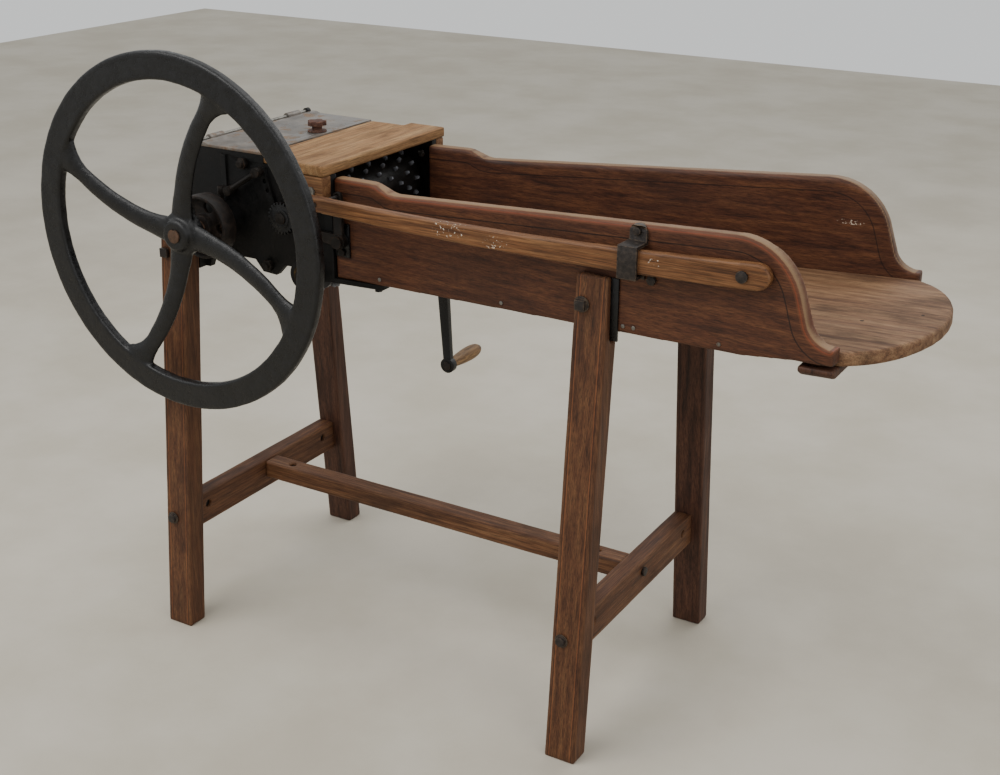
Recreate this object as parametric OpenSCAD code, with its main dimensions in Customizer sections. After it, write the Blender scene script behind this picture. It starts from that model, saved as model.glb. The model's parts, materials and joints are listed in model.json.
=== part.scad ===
// Stalk cutter: a flared wooden feed trough on four splayed legs. A cast head at the rear holds
// spiked feed rollers and a knife cylinder. A curved-spoke flywheel stands on the near side and
// a geared hand crank on the far side. X runs along the trough to the feed end, Y across to the
// crank side, Z up. The origin is on the floor, below the middle of the whole machine.

/* [Stand] */
// Distance between the feed-end faces of the front and rear legs
leg_span = 915; // [760:1:1100]
// Width of a leg along the trough
leg_w = 61; // [50:1:70]
// Depth of a leg across the machine
leg_d = 45; // [38:1:52]
// Half the width over the four feet, across the machine
foot_half = 305; // [297:1:320]
// Lean of each leg towards the trough, in degrees
leg_splay = 4.8; // [4.4:0.1:5.2]
// Height of the front legs
front_leg_h = 906; // [880:1:925]
// Height of the rear legs
rear_leg_h = 830; // [812:1:832]
// Height of the underside of the rails above the floor
rail_z = 200; // [120:1:320]
// Height of a rail's section
rail_h = 68; // [50:1:80]
// Thickness of the two cross rails
rail_t = 38; // [30:1:46]
// Height of the long rail's section
long_rail_h = 38; // [30:1:48]
// Width of the long rail's section
long_rail_w = 42; // [30:1:60]

/* [Trough] */
// Half the width over the trough sides, measured at the middle of the stand
trough_half = 180; // [176:1:184]
// Flare of each trough side, in degrees
side_flare = 4.2; // [3.6:0.1:4.6]
// Rise of the trough floor towards the feed end, in degrees
trough_tilt = 2; // [1.2:0.1:2.6]
// Thickness of the side boards
side_t = 28; // [22:1:29]
// Height of the trough floor's upper face at the middle of the stand
floor_z = 819.5; // [812:0.5:824]
// Thickness of the floor board
floor_t = 24; // [18:1:28]
// Where the side boards end, measured from the middle of the stand
side_end = 845; // [780:1:900]
// Where the rounded apron of the floor ends
apron_end = 950; // [930:1:1010]
// Height of the side boards' upper edge at the middle of the stand
side_top_z = 968.5; // [960:0.5:972]

/* [Head] */
// Where the head's front faces the trough
head_front = -140; // [-142:1:-138]
// Inner half width of the throat between the two side castings
throat_half = 162; // [160:1:164]
// Thickness of a side casting
casting_t = 14; // [12:1:15]
// Height of the head's wooden top
head_top_z = 1009; // [1007:1:1014]
// Thickness of the head's wooden top
head_top_t = 20; // [16:1:22]
// Length of the head's wooden top along the trough
head_top_l = 158; // [150:1:160]
// Thickness of the wooden cheeks
cheek_t = 27; // [20:1:28]

/* [Flywheel and cutter] */
// Place of the cutter shaft along the trough
cutter_x = -393; // [-396:0.5:-390]
// Height of the cutter shaft
cutter_z = 871; // [868:0.5:874]
// Outer radius of the flywheel
wheel_r = 340; // [310:0.5:380]
// Radial width of the flywheel's rim
rim_h = 52.5; // [40:0.5:64]
// Width of the flywheel's rim across the machine
rim_w = 22; // [20:1:26]
// Distance of the rim's outer face from the machine's middle plane
wheel_y = 335; // [332:1:342]
// Radius of the cutter shaft
cutter_shaft_r = 13; // [12:0.5:15]
// Radius swept by the knife edges
knife_r = 92; // [84:1:94]
// Number of knives on the cylinder
knives = 3; // [2, 3, 4]
// Turn of the flywheel at rest, in degrees
wheel_turn = 0; // [-45:1:45]

/* [Crank and feed rollers] */
// Teeth of the large gear on the crank shaft
crank_gear_teeth = 64; // [60:1:66]
// Teeth of the pinion on the cutter shaft
cutter_pinion_teeth = 30; // [28:1:32]
// Module of the crank gear pair
drive_module = 4.5; // [4.4:0.05:4.6]
// Height of the crank shaft
crank_z = 793; // [790:0.5:796]
// Radius of the crank shaft
crank_shaft_r = 12.5; // [10:0.5:14]
// Throw of the crank from shaft to grip
crank_throw = 331; // [250:1:340]
// Swing of the hanging crank from straight down, in degrees
crank_turn = 3.9; // [0:0.1:12]
// Length of the wooden grip
grip_l = 112; // [100:1:150]
// Teeth of the lower roller's gear
lower_gear_teeth = 18; // [17:1:18]
// Teeth of the upper roller's gear
upper_gear_teeth = 28; // [28:1:29]
// Module of the roller gears
roller_module = 5; // [4.95:0.05:5.05]
// Radius of the lower roller over its spikes
lower_roller_r = 45; // [42:0.5:46]
// Radius of the upper roller over its spikes
upper_roller_r = 64; // [60:0.5:65]
// Radius of the upper roller's shaft
upper_shaft_r = 11; // [9:0.5:12]
// Lift of the upper roller when the shift rod is pulled
roller_lift = 12; // [6:1:13]

/* [Shift rod] */
// Distance of the shift rod's middle from the machine's middle plane
rod_y = 245; // [243:1:250]
// Thickness of the shift rod
rod_t = 18; // [14:1:20]
// Place of the rod's feed end
rod_end = 738; // [700:1:760]
// Place of the rod's head end
rod_start = -150; // [-160:1:-120]

/* [Hidden] */

// Small gap between pieces that lie face to face or run past each other
gap = 0.3;
// Radial play of a shaft in its bush
play = 0.06;
wood_dark = "#5b3522";
wood_mid = "#7a4c2d";
wood_light = "#a98a66";
iron = "#222224";
rust = "#6b4636";
steel = "#6f6c68";
brass = "#8d7a4a";

leg_front_x = leg_span / 2;
leg_rear_x = -leg_span / 2;
board_skew = side_t / cos(side_flare);
floor_fall = floor_t / cos(trough_tilt);
casting_out = throat_half + casting_t;
cheek_out = casting_out + cheek_t;
casting_front = head_front - 1;

// The cutter and crank shafts stand one gear distance apart
drive_distance = drive_module * (crank_gear_teeth + cutter_pinion_teeth) / 2;
crank_drop = cutter_z - crank_z;
crank_x = cutter_x + sqrt(drive_distance * drive_distance - crank_drop * crank_drop);
drive_angle = atan2(cutter_z - crank_z, cutter_x - crank_x);

// The upper roller stands one gear distance from the lower one, a little behind it
roller_distance = roller_module * (lower_gear_teeth + upper_gear_teeth) / 2;
roller_back = 28;
upper_x = crank_x - roller_back;
upper_z = crank_z + sqrt(roller_distance * roller_distance - roller_back * roller_back);
roller_angle = atan2(upper_z - crank_z, upper_x - crank_x);
roller_half_l = throat_half - 5;

// Stations across the machine, on the crank side
boss_out = casting_out + 24;
roller_gear_in = boss_out + 10;
roller_gear_w = 17;
gear_in = roller_gear_in + roller_gear_w + 5;
gear_w = 24;
crank_t = 12;
crank_end_r = 17;
// The crank swings outside both its gear and the rear leg
crank_reach = crank_throw + crank_end_r;
pass_z = crank_z - sqrt(max(0, pow(crank_reach, 2) - pow(crank_x - leg_rear_x, 2)));
crank_in = max(gear_in + gear_w + 6, lean_y(pass_z) + 4);
grip_in = crank_in + crank_t + 3;
spindle_end = grip_in + grip_l + 4;

// Stations across the machine, on the flywheel side
hub_out = wheel_y - 8;
hub_in = wheel_y - 52;
shaft_out = hub_out + 4;
collar_in = cheek_out + 3;
collar_w = 16;
pulley_in = boss_out + 22;
pulley_w = 36;

// The machine is moved so that the origin lies below the middle of its box
mid_x = (apron_end + cutter_x - wheel_r) / 2;
mid_y = (spindle_end - max(wheel_y, shaft_out)) / 2;

function side_y(x) = trough_half + tan(side_flare) * x;
function floor_at(x) = floor_z + tan(trough_tilt) * x;
function lean_y(z) = foot_half - tan(leg_splay) * z;
function arc(cx, cy, r, a0, a1, n) =
    [for (i = [0:n]) [cx + r * cos(a0 + (a1 - a0) * i / n), cy + r * sin(a0 + (a1 - a0) * i / n)]];

module placed() {
    translate([-mid_x, -mid_y, 0]) children();
}

// A cylinder across the machine from y0 to y1, on the axis through x and z
module rod_y_axis(x, z, y0, y1, r) {
    translate([x, y1, z]) rotate([90, 0, 0]) cylinder(h = y1 - y0, r = r, $fn = 64);
}

// A plate across the machine from y0 to y1 with the children as its outline in X and Z
module plate_y(y0, y1) {
    translate([0, y1, 0]) rotate([90, 0, 0]) linear_extrude(height = y1 - y0) children();
}

module both_sides() {
    children();
    mirror([0, 1, 0]) children();
}

module hex_y(x, z, y0, y1, flats) {
    translate([x, y1, z]) rotate([90, 0, 0]) cylinder(h = y1 - y0, r = flats / sqrt(3), $fn = 6);
}

module square_y(x, z, y0, y1, flats) {
    translate([x - flats / 2, y0, z - flats / 2]) cube([flats, y1 - y0, flats]);
}

// Involute gear outline, tooth 0 centred on the given angle
function involute(a) = tan(a) * 180 / PI - a;
function flank(r, base_r, half) = half + involute(20) - involute(acos(min(1, base_r / r)));
module gear_outline(teeth, mod, turn) {
    pitch_r = mod * teeth / 2;
    base_r = pitch_r * cos(20);
    root_r = pitch_r - 1.2 * mod;
    tip_r = pitch_r + 0.9 * mod;
    low_r = max(root_r + 0.2, base_r);
    half = 90 / teeth - 0.06 * mod / pitch_r * 180 / PI;
    steps = 3;
    radii = [for (i = [0:steps]) low_r + (tip_r - low_r) * i / steps];
    polygon([for (t = [0:teeth - 1]) let (a = turn + 360 * t / teeth) each concat(
        [[root_r * cos(a - flank(low_r, base_r, half)), root_r * sin(a - flank(low_r, base_r, half))]],
        [for (r = radii) [r * cos(a - flank(r, base_r, half)), r * sin(a - flank(r, base_r, half))]],
        [for (i = [steps:-1:0]) let (r = radii[i])
            [r * cos(a + flank(r, base_r, half)), r * sin(a + flank(r, base_r, half))]],
        [[root_r * cos(a + flank(low_r, base_r, half)), root_r * sin(a + flank(low_r, base_r, half))]]
    )]);
}

// Bolt sizes
leg_bolt_r = 6;
rail_bolt_r = 5;
head_flats = 22;
head_t = 8;
hole_play = 0.3;
plate_t = 4;
plate_below = 16;
leg_bolt_in = 46;
leg_bolt_z = 856;
rail_mid_z = rail_z + rail_h / 2 + 6;
rail_setback = 1;
dowel_in = 62;
dowel_r = 8;
long_rail_y = 9;
long_rail_top = rail_z + rail_h - 4;
long_bolt_z = long_rail_top - long_rail_h / 2;
rear_pad_z = rear_leg_h - 66;
rear_bolt_z = rear_leg_h - 30;

// The upper side of a leg that faces the trough stands clear of this line
function leg_inner(z) = lean_y(z) - leg_d;

module leg_blank(x1, h) {
    translate([x1 - leg_w, 0, 0]) rotate([90, 0, 90]) linear_extrude(height = leg_w)
        polygon([[foot_half - leg_d, 0], [foot_half, 0], [lean_y(h), h], [leg_inner(h), h]]);
}

module leg_bolt_holes(x1, z) {
    rod_y_axis(x1 - leg_bolt_in, z, casting_out - 60, foot_half, leg_bolt_r + hole_play);
}

module rail_bolt_holes(x1) {
    x = x1 - leg_w + rail_setback + rail_t / 2;
    rod_y_axis(x, rail_mid_z, foot_half - 130, foot_half + 10, rail_bolt_r + hole_play);
}

// The crank-side board's own frame: X along its outer face, Y out of it
module side_frame() {
    translate([0, trough_half, 0]) rotate([0, 0, side_flare]) children();
}

module front_leg() {
    notch_z = floor_at(leg_front_x) - floor_fall - plate_below - 5;
    difference() {
        leg_blank(leg_front_x, front_leg_h);
        side_frame() translate([leg_front_x - leg_w - 30, -60, notch_z])
            cube([leg_w + 60, 60 + plate_t, 200]);
        leg_bolt_holes(leg_front_x, leg_bolt_z);
        rail_bolt_holes(leg_front_x);
    }
}

module rear_leg() {
    difference() {
        leg_blank(leg_rear_x, rear_leg_h);
        leg_bolt_holes(leg_rear_x, rear_bolt_z);
        rail_bolt_holes(leg_rear_x);
    }
}

module front_far_leg() {
    color(wood_mid) placed() front_leg();
}

module front_near_leg() {
    color(wood_mid) placed() mirror([0, 1, 0]) front_leg();
}

module rear_far_leg() {
    color(wood_mid) placed() rear_leg();
}

module rear_near_leg() {
    color(wood_mid) placed() mirror([0, 1, 0]) rear_leg();
}

module cross_rail(x1) {
    x0 = x1 - leg_w + rail_setback;
    z1 = rail_z + rail_h;
    end0 = leg_inner(rail_z);
    end1 = leg_inner(z1);
    difference() {
        translate([x0, 0, 0]) rotate([90, 0, 90]) linear_extrude(height = rail_t)
            polygon([[-end0, rail_z], [end0, rail_z], [end1, z1], [-end1, z1]]);
        both_sides() rail_bolt_holes(x1);
        both_sides() translate([x0 - 1, foot_half - leg_d - dowel_in, rail_mid_z])
            rotate([0, 90, 0]) cylinder(h = rail_t + 2, r = dowel_r + hole_play, $fn = 40);
        translate([x0 - 1, long_rail_y, long_bolt_z]) rotate([0, 90, 0])
            cylinder(h = rail_t + 2, r = rail_bolt_r + hole_play, $fn = 40);
    }
}

module front_cross_rail() {
    color(wood_dark) placed() cross_rail(leg_front_x);
}

module rear_cross_rail() {
    color(wood_dark) placed() cross_rail(leg_rear_x);
}

rail_x0 = leg_rear_x - leg_w + rail_setback + rail_t;
rail_x1 = leg_front_x - leg_w + rail_setback;

module long_rail() {
    color(wood_dark) placed() difference() {
        translate([rail_x0, long_rail_y - long_rail_w / 2, long_rail_top - long_rail_h])
            cube([rail_x1 - rail_x0, long_rail_w, long_rail_h]);
        for (x = [rail_x0 - 1, rail_x1 - dowel_in - 20])
            translate([x, long_rail_y, long_bolt_z]) rotate([0, 90, 0])
                cylinder(h = dowel_in + 21, r = rail_bolt_r + hole_play, $fn = 40);
        for (x = [rail_x0 + dowel_in, rail_x1 - dowel_in])
            translate([x, long_rail_y, long_bolt_z]) cylinder(h = 60, r = dowel_r + hole_play, $fn = 40);
    }
}

// Six bolts of the stand: four through the legs, two through the cross rails
module rail_bolts() {
    color(iron) placed() {
        for (x1 = [leg_rear_x, leg_front_x]) both_sides() {
            x = x1 - leg_w + rail_setback + rail_t / 2;
            out = lean_y(rail_mid_z) + 1.2;
            rod_y_axis(x, rail_mid_z, foot_half - leg_d - dowel_in - 6, out, rail_bolt_r);
            rod_y_axis(x, rail_mid_z, out, out + 2, 13);
            rod_y_axis(x, rail_mid_z, out + 2, out + 8, 9);
        }
        for (e = [0, 1]) {
            out = e == 0 ? rail_x0 - rail_t : rail_x1 + rail_t;
            in = e == 0 ? rail_x0 + dowel_in + 6 : rail_x1 - dowel_in - 6;
            translate([min(out, in), long_rail_y, long_bolt_z]) rotate([0, 90, 0])
                cylinder(h = abs(out - in), r = rail_bolt_r, $fn = 40);
            translate([e == 0 ? out - 6 : out, long_rail_y, long_bolt_z]) rotate([0, 90, 0])
                cylinder(h = 6, r = 9, $fn = 40);
        }
    }
}

// Barrel nuts that the six bolts screw into
module rail_nuts() {
    color(iron) placed() {
        for (x1 = [leg_rear_x, leg_front_x]) both_sides()
            translate([x1 - leg_w + rail_setback + 7, foot_half - leg_d - dowel_in, rail_mid_z])
                difference() {
                    rotate([0, 90, 0]) cylinder(h = rail_t - 14, r = dowel_r, $fn = 40);
                    translate([rail_t / 2 - 7, 0, 0]) rotate([90, 0, 0])
                        cylinder(h = 30, r = rail_bolt_r + 0.05, center = true, $fn = 40);
                }
        for (x = [rail_x0 + dowel_in, rail_x1 - dowel_in])
            translate([x, long_rail_y, long_bolt_z]) difference() {
                cylinder(h = 12, r = dowel_r, $fn = 40);
                translate([-15, 0, 0]) rotate([0, 90, 0])
                    cylinder(h = 30, r = rail_bolt_r + 0.05, $fn = 40);
            }
    }
}

// Cast plates between the front legs and the trough sides
module leg_plates() {
    z0 = floor_at(leg_front_x) - floor_fall - plate_below;
    color(iron) placed() both_sides() difference() {
        side_frame() translate([(leg_front_x - leg_w) / cos(side_flare) + 4, 0, z0])
            cube([leg_w + 9, plate_t, front_leg_h - z0 - 2]);
        leg_bolt_holes(leg_front_x, leg_bolt_z);
    }
}

// Square-headed bolts of the legs with their nuts inside
module leg_bolts() {
    fx = leg_front_x - leg_bolt_in;
    rx = leg_rear_x - leg_bolt_in;
    color(iron) placed() both_sides() {
        front_out = lean_y(leg_bolt_z) + 1.3;
        front_in = side_y(fx) - board_skew - 1;
        rod_y_axis(fx, leg_bolt_z, front_in - 14, front_out, leg_bolt_r);
        rod_y_axis(fx, leg_bolt_z, front_out, front_out + 2, 14);
        square_y(fx, leg_bolt_z, front_out + 2, front_out + 2 + head_t, head_flats * 0.8);
        square_y(fx, leg_bolt_z, front_in - 10, front_in, head_flats * 0.8);
        rear_out = lean_y(rear_bolt_z) + 1;
        rod_y_axis(rx, rear_bolt_z, throat_half - 16, rear_out, leg_bolt_r);
        square_y(rx, rear_bolt_z, rear_out, rear_out + head_t, head_flats * 0.8);
        square_y(rx, rear_bolt_z, throat_half - 12, throat_half - 2, head_flats * 0.8);
    }
}

// Outline of a side board along its length: bottom with its cut-up end, the curved nose at the
// feed end, the straight upper edge and the raised shoulder at the head
top_slope = 3.7;
nose_r = 112;
nose_x = side_end - 168;
tail_r = 46;
shoulder_h = 14.5;
shoulder_x = -58;
side_start = head_front + 0.5;
kink_x = side_end - 153;
kink_rise = 8;
function side_top(x) = side_top_z + tan(top_slope) * x;
nose_z = side_top(nose_x) - nose_r;
tail_x = side_end - 4;
tail_z = floor_at(side_end) + 56;
side_outline = concat(
    [[side_start, floor_at(side_start) - floor_fall],
     [kink_x, floor_at(kink_x) - floor_fall],
     [kink_x + 90, floor_at(kink_x + 90) - floor_fall + kink_rise],
     [side_end, floor_at(side_end) - floor_fall + kink_rise],
     [side_end, tail_z - tail_r]],
    arc(tail_x, tail_z, tail_r, 266, 196, 8),
    arc(nose_x, nose_z, nose_r, 16, 90 + top_slope, 12),
    [for (i = [0:8]) [shoulder_x * i / 8, side_top(0) + shoulder_h * (1 - cos(180 * i / 8)) / 2]],
    [[side_start, side_top(0) + shoulder_h - 1]]);

module side_board() {
    difference() {
        side_frame() rotate([90, 0, 0]) linear_extrude(height = side_t) polygon(side_outline);
        leg_bolt_holes(leg_front_x, leg_bolt_z);
        tongue_bolt_hole();
    }
}

module far_side_board() {
    color(wood_dark) placed() side_board();
}

module near_side_board() {
    color(wood_dark) placed() mirror([0, 1, 0]) side_board();
}

// Floor board: it widens with the sides and ends in a rounded apron
floor_start = crank_x + lower_roller_r + 4;
apron_x = side_end - 55;
function floor_half(x) = side_y(x * cos(trough_tilt)) - board_skew - 0.1;
apron_half = floor_half(side_end) / sqrt(1 - pow((side_end - apron_x) / (apron_end - apron_x), 2));
apron_from = asin(floor_half(side_end) / apron_half);
apron_right = [for (i = [0:15]) let (a = apron_from - apron_from * i / 15)
    [apron_x + (apron_end - apron_x) * cos(a), apron_half * sin(a)]];
apron_left = [for (i = [14:-1:0]) [apron_right[i][0], -apron_right[i][1]]];

module trough_floor() {
    color(wood_light) placed() translate([0, 0, floor_z]) rotate([0, -trough_tilt, 0])
        translate([0, 0, -floor_t]) linear_extrude(height = floor_t)
            polygon(concat([[floor_start, floor_half(floor_start)]], apron_right, apron_left,
                [[floor_start, -floor_half(floor_start)]]));
}

// Batten under the apron
module floor_cleat() {
    x0 = side_end - 60;
    half = side_y(side_end) - 6;
    color(wood_dark) placed() translate([0, 0, floor_z]) rotate([0, -trough_tilt, 0])
        translate([x0, 0, -floor_t]) rotate([90, 0, 90]) linear_extrude(height = 58)
            polygon([[-half, 0], [-half, -8], [-half + 12, -17], [half - 12, -17], [half, -8], [half, 0]]);
}

// Nails through the side boards into the floor's edges
plate_end = (leg_front_x - leg_w) / cos(side_flare) + leg_w + 13;
nail_x = [-36, 236, plate_end + 8.5, plate_end + 28.5, 655];
module floor_nails() {
    color(steel) placed() both_sides() for (x = nail_x)
        side_frame() translate([x, 1.5, floor_at(x) - floor_fall / 2]) rotate([90, 0, 0])
            cylinder(h = 1.5, r = 3.6, $fn = 24);
}

// Head: two side castings that carry every shaft, with a slot for the upper roller's blocks
slot_half = 17;
block_below = 20;
block_above = 14;
block_out = casting_out + 15;
slot_top = upper_z + roller_lift + 18;
cutter_bush_r = cutter_shaft_r + 8;
crank_bush_r = crank_shaft_r + 8;
block_shaft_r = upper_shaft_r + play;
casting_top = head_top_z - head_top_t;
rear_top_z = head_top_z - 4;
rear_foot_x = leg_rear_x - leg_w;
rib_t = 5;
pad_low = leg_inner(rear_pad_z) - gap;
pad_high = leg_inner(rear_leg_h) - gap;

module casting_outline() {
    polygon([[casting_front, 784], [casting_front, casting_top], [head_front - head_top_l, casting_top],
        [head_front - head_top_l, rear_top_z], [lid_x0 + 10, rear_top_z], [lid_x0 - 8, 990], [-500, 930],
        [rear_foot_x, 890], [rear_foot_x, rear_pad_z], [leg_rear_x + 10, rear_pad_z], [-436, 798],
        [-330, 798], [-312, 776], [-280, 774], [-258, 797], [-236, 797], [-226, 776],
        [casting_front - 40, 776]]);
}

module side_casting() {
    difference() {
        union() {
            plate_y(throat_half, casting_out) casting_outline();
            rod_y_axis(cutter_x, cutter_z, casting_out - 1, boss_out, 38);
            rod_y_axis(crank_x, crank_z, casting_out - 1, boss_out, 30);
            // Pad that the rear leg is bolted to
            translate([rear_foot_x, 0, 0]) rotate([90, 0, 90]) linear_extrude(height = leg_w)
                polygon([[casting_out - 1, rear_pad_z], [pad_low, rear_pad_z],
                    [pad_high, rear_leg_h], [casting_out - 1, rear_leg_h]]);
            // Tongue that the trough side is bolted down on
            plate_y(throat_half - 8, casting_out) polygon([for (p = [[0, 9.1], [1, 9.1], [1, 0.1], [0, 0.1]])
                let (x = tongue_x0 + (tongue_x1 - tongue_x0) * p[0]) [x, board_low(x) - p[1]]]);
            // Eye of the lid's hinge pin
            rod_y_axis(hinge_x, hinge_z, throat_half + 2, casting_out - 2, 7);
            plate_y(throat_half + 2, casting_out - 2) polygon([[hinge_x - 7, 985], [hinge_x + 7, 985],
                [hinge_x + 7, hinge_z - 3], [hinge_x, hinge_z], [hinge_x - 7, hinge_z - 3]]);
            // Ribs from the shaft boss
            plate_y(casting_out - 1, casting_out + rib_t) polygon([[cutter_x - 6, cutter_z], [cutter_x - 6,
                rear_top_z - 8], [cutter_x + 6, rear_top_z - 8], [cutter_x + 6, cutter_z]]);
            plate_y(casting_out - 1, casting_out + rib_t) polygon([[cutter_x, cutter_z - 8], [rear_foot_x + 4,
                rear_leg_h + 20], [rear_foot_x + 4, rear_leg_h + 32], [cutter_x, cutter_z + 8]]);
        }
        rod_y_axis(cutter_x, cutter_z, throat_half - 1, boss_out + 1, cutter_bush_r);
        rod_y_axis(crank_x, crank_z, throat_half - 1, boss_out + 1, crank_bush_r);
        translate([upper_x - slot_half, throat_half - 1, upper_z - block_below])
            cube([2 * slot_half, casting_t + 2, slot_top - upper_z + block_below]);
        leg_bolt_holes(leg_rear_x, rear_bolt_z);
        for (p = cheek_bolt_places)
            rod_y_axis(p[0], p[1], throat_half - 1, casting_out + 1, 4 + hole_play);
        for (p = tie_places)
            rod_y_axis(p[0], p[1], throat_half - 1, casting_out + 1, 7 + hole_play);
        rod_y_axis(hinge_x, hinge_z, throat_half - 1, casting_out + 1, lid_pin_r + 0.02);
        tongue_bolt_hole();
    }
}

// Bolts from below through the tongues into the trough sides
tongue_x0 = casting_front - 8;
tongue_x1 = casting_front + 110;
tongue_bolt_x = casting_front + 92;
tongue_bolt_y = throat_half + 1;
tongue_bolt_r = 4;
function board_low(x) = floor_at(x) - floor_fall;
module tongue_bolt_hole() {
    translate([tongue_bolt_x, tongue_bolt_y, board_low(tongue_bolt_x) - 20])
        cylinder(h = 55, r = tongue_bolt_r + hole_play, $fn = 32);
}

module tongue_bolts() {
    color(iron) placed() both_sides() translate([tongue_bolt_x, tongue_bolt_y, board_low(tongue_bolt_x)]) {
        translate([0, 0, -16]) cylinder(h = 6.6, r = 7.5, $fn = 6);
        translate([0, 0, -10]) cylinder(h = 42, r = tongue_bolt_r, $fn = 32);
    }
}

cheek_z0 = upper_z + block_above + roller_lift + 1.5;
cheek_l = 80;
cheek_bolt_places = [[head_front - 26, 960], [head_front - 65, 976]];
tie_places = [[-296, 792], [-500, 880], [-345, 985]];

module far_side_casting() {
    color(iron) placed() side_casting();
}

// Slanting strap with two holes, cast on the near casting, that carries the upper end of the stay
strap_t = 7;
strap_from = [-300, 982];
strap_to = [-273, 905];
strap_holes = [[-291.5, 958], [-285.5, 941]];
module strap() {
    run = strap_to - strap_from;
    n = [-run[1], run[0]] / norm(run) * 8;
    difference() {
        plate_y(casting_out - 1, casting_out + strap_t)
            polygon([strap_from - n, strap_from + n, strap_to + n, strap_to - n]);
        for (p = strap_holes) rod_y_axis(p[0], p[1], casting_out + 2, casting_out + strap_t + 1, 4.5);
    }
}

module near_side_casting() {
    color(iron) placed() mirror([0, 1, 0]) {
        side_casting();
        strap();
    }
}

// Wooden cheeks outside the castings, rounded at their upper front corner
module cheek() {
    x0 = head_front - cheek_l;
    z1 = casting_top - gap;
    difference() {
        plate_y(casting_out + 0.05, cheek_out) polygon([[x0, cheek_z0], [head_front, cheek_z0],
            [head_front, z1], [x0, z1]]);
        for (p = cheek_bolt_places)
            rod_y_axis(p[0], p[1], casting_out - 1, cheek_out + 1, 4 + hole_play);
    }
}

module far_cheek() {
    color(wood_mid) placed() cheek();
}

module near_cheek() {
    color(wood_mid) placed() mirror([0, 1, 0]) cheek();
}

module cheek_bolts() {
    color(steel) placed() both_sides() for (p = cheek_bolt_places) {
        rod_y_axis(p[0], p[1], throat_half - 3, cheek_out + 1, 4);
        rod_y_axis(p[0], p[1], cheek_out + 0.1, cheek_out + 5, 9);
        hex_y(p[0], p[1], throat_half - 3.5, throat_half - 0.1, 13);
    }
}

// Light wooden top over the throat, wider where it covers the cheeks
module head_top_board() {
    color(wood_light) placed() {
        translate([head_front - head_top_l, -casting_out, casting_top])
            cube([head_top_l + 3, 2 * casting_out, head_top_t]);
        translate([head_front - cheek_l, -cheek_out - 1, casting_top])
            cube([cheek_l + 3, 2 * cheek_out + 2, head_top_t]);
    }
}

// Iron lid over the knives, hinged on a pin along its rear edge
lid_x0 = -462;
lid_x1 = head_front - head_top_l - 2;
lid_half = casting_out + 1;
lid_t = 5;
lid_pin_r = 4;
hinge_x = lid_x0 + 1;
hinge_z = rear_top_z + gap + lid_pin_r + 3;
lid_lug_y = 120;

module lid() {
    z0 = rear_top_z + gap;
    color("#3a3a3c") placed() difference() {
        union() {
            plate_y(-lid_half, lid_half) polygon([[lid_x0 + 10, z0], [lid_x1, z0], [lid_x1, z0 + lid_t],
                [lid_x0 + 30, z0 + lid_t], [lid_x0 + 22, z0 + lid_t + 3], [lid_x0 + 10, z0 + lid_t + 3]]);
            for (s = [-1, 1])
                rod_y_axis(hinge_x, hinge_z, s * lid_lug_y - 20, s * lid_lug_y + 20, lid_pin_r + 3.5);
            for (s = [-1, 1]) translate([hinge_x, s * lid_lug_y - 20, hinge_z - 6]) cube([14, 40, 6]);
        }
        rod_y_axis(hinge_x, hinge_z, -lid_half - 20, lid_half + 20, lid_pin_r + play);
        translate([lid_knob_x, lid_knob_y, rear_top_z - 1])
            cylinder(h = 20, r = 5 + play, $fn = 40);
    }
}

lid_knob_x = -326;
lid_knob_y = 28;

// Hinge pin held in an eye of each side casting
module lid_hinge_pin() {
    color(steel) placed() {
        rod_y_axis(hinge_x, hinge_z, -lid_half, lid_half, lid_pin_r);
    }
}

// Hand nut that turns on its washer in the lid
module lid_knob() {
    z = rear_top_z + gap + lid_t;
    color(rust) placed() translate([lid_knob_x, lid_knob_y, z + gap]) {
        translate([0, 0, -lid_t - 3]) cylinder(h = 20, r = 5, $fn = 40);
        cylinder(h = 2.5, r = 19, $fn = 48);
        cylinder(h = 16, r = 10, $fn = 40);
        translate([0, 0, 12]) difference() {
            cylinder(h = 9, r = 19, $fn = 48);
            for (i = [0:4]) rotate([0, 0, 72 * i]) translate([24, 0, -1]) cylinder(h = 12, r = 9, $fn = 32);
        }
    }
}

// Bed plate between rollers and knives, and the hardened shear bar on its edge
bed_top = crank_z + lower_roller_r - 1;
shear_edge = cutter_x + sqrt(pow(knife_r + 1.5, 2) - pow(cutter_z - bed_top, 2));
bed_back = crank_x - lower_roller_r - 4;

module bed_plate() {
    color(iron) placed() difference() {
        translate([shear_edge + 3, -throat_half + gap, bed_top - 14])
            cube([bed_back - shear_edge - 3, 2 * throat_half - 2 * gap, 8]);
        for (y = [-110, 0, 110]) translate([shear_edge + 16, y, bed_top - 20])
            cylinder(h = 40, r = 4 + hole_play, $fn = 32);
    }
}

module shear_bar() {
    color(steel) placed() {
        difference() {
            translate([shear_edge, -throat_half + gap, bed_top - 6])
                cube([34, 2 * throat_half - 2 * gap, 6]);
            for (y = [-110, 0, 110]) translate([shear_edge + 16, y, bed_top - 20])
                cylinder(h = 40, r = 4 + hole_play, $fn = 32);
        }
        for (y = [-110, 0, 110]) translate([shear_edge + 16, y, bed_top - 22])
            cylinder(h = 21, r = 4, $fn = 32);
        for (y = [-110, 0, 110]) translate([shear_edge + 16, y, bed_top - 22])
            cylinder(h = 7, r = 8, $fn = 6);
    }
}

// Long bolts that tie the two castings together
module tie_bolts() {
    color(iron) placed() for (p = tie_places) {
        rod_y_axis(p[0], p[1], -casting_out - 16, casting_out + 16, 7);
        for (s = [-1, 1]) {
            rod_y_axis(p[0], p[1], s * (throat_half - 4) - 3.5, s * (throat_half - 4) + 3.5, 11);
            hex_y(p[0], p[1], s * (casting_out + 5) - 4.5, s * (casting_out + 5) + 4.5, 20);
        }
    }
}

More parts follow.
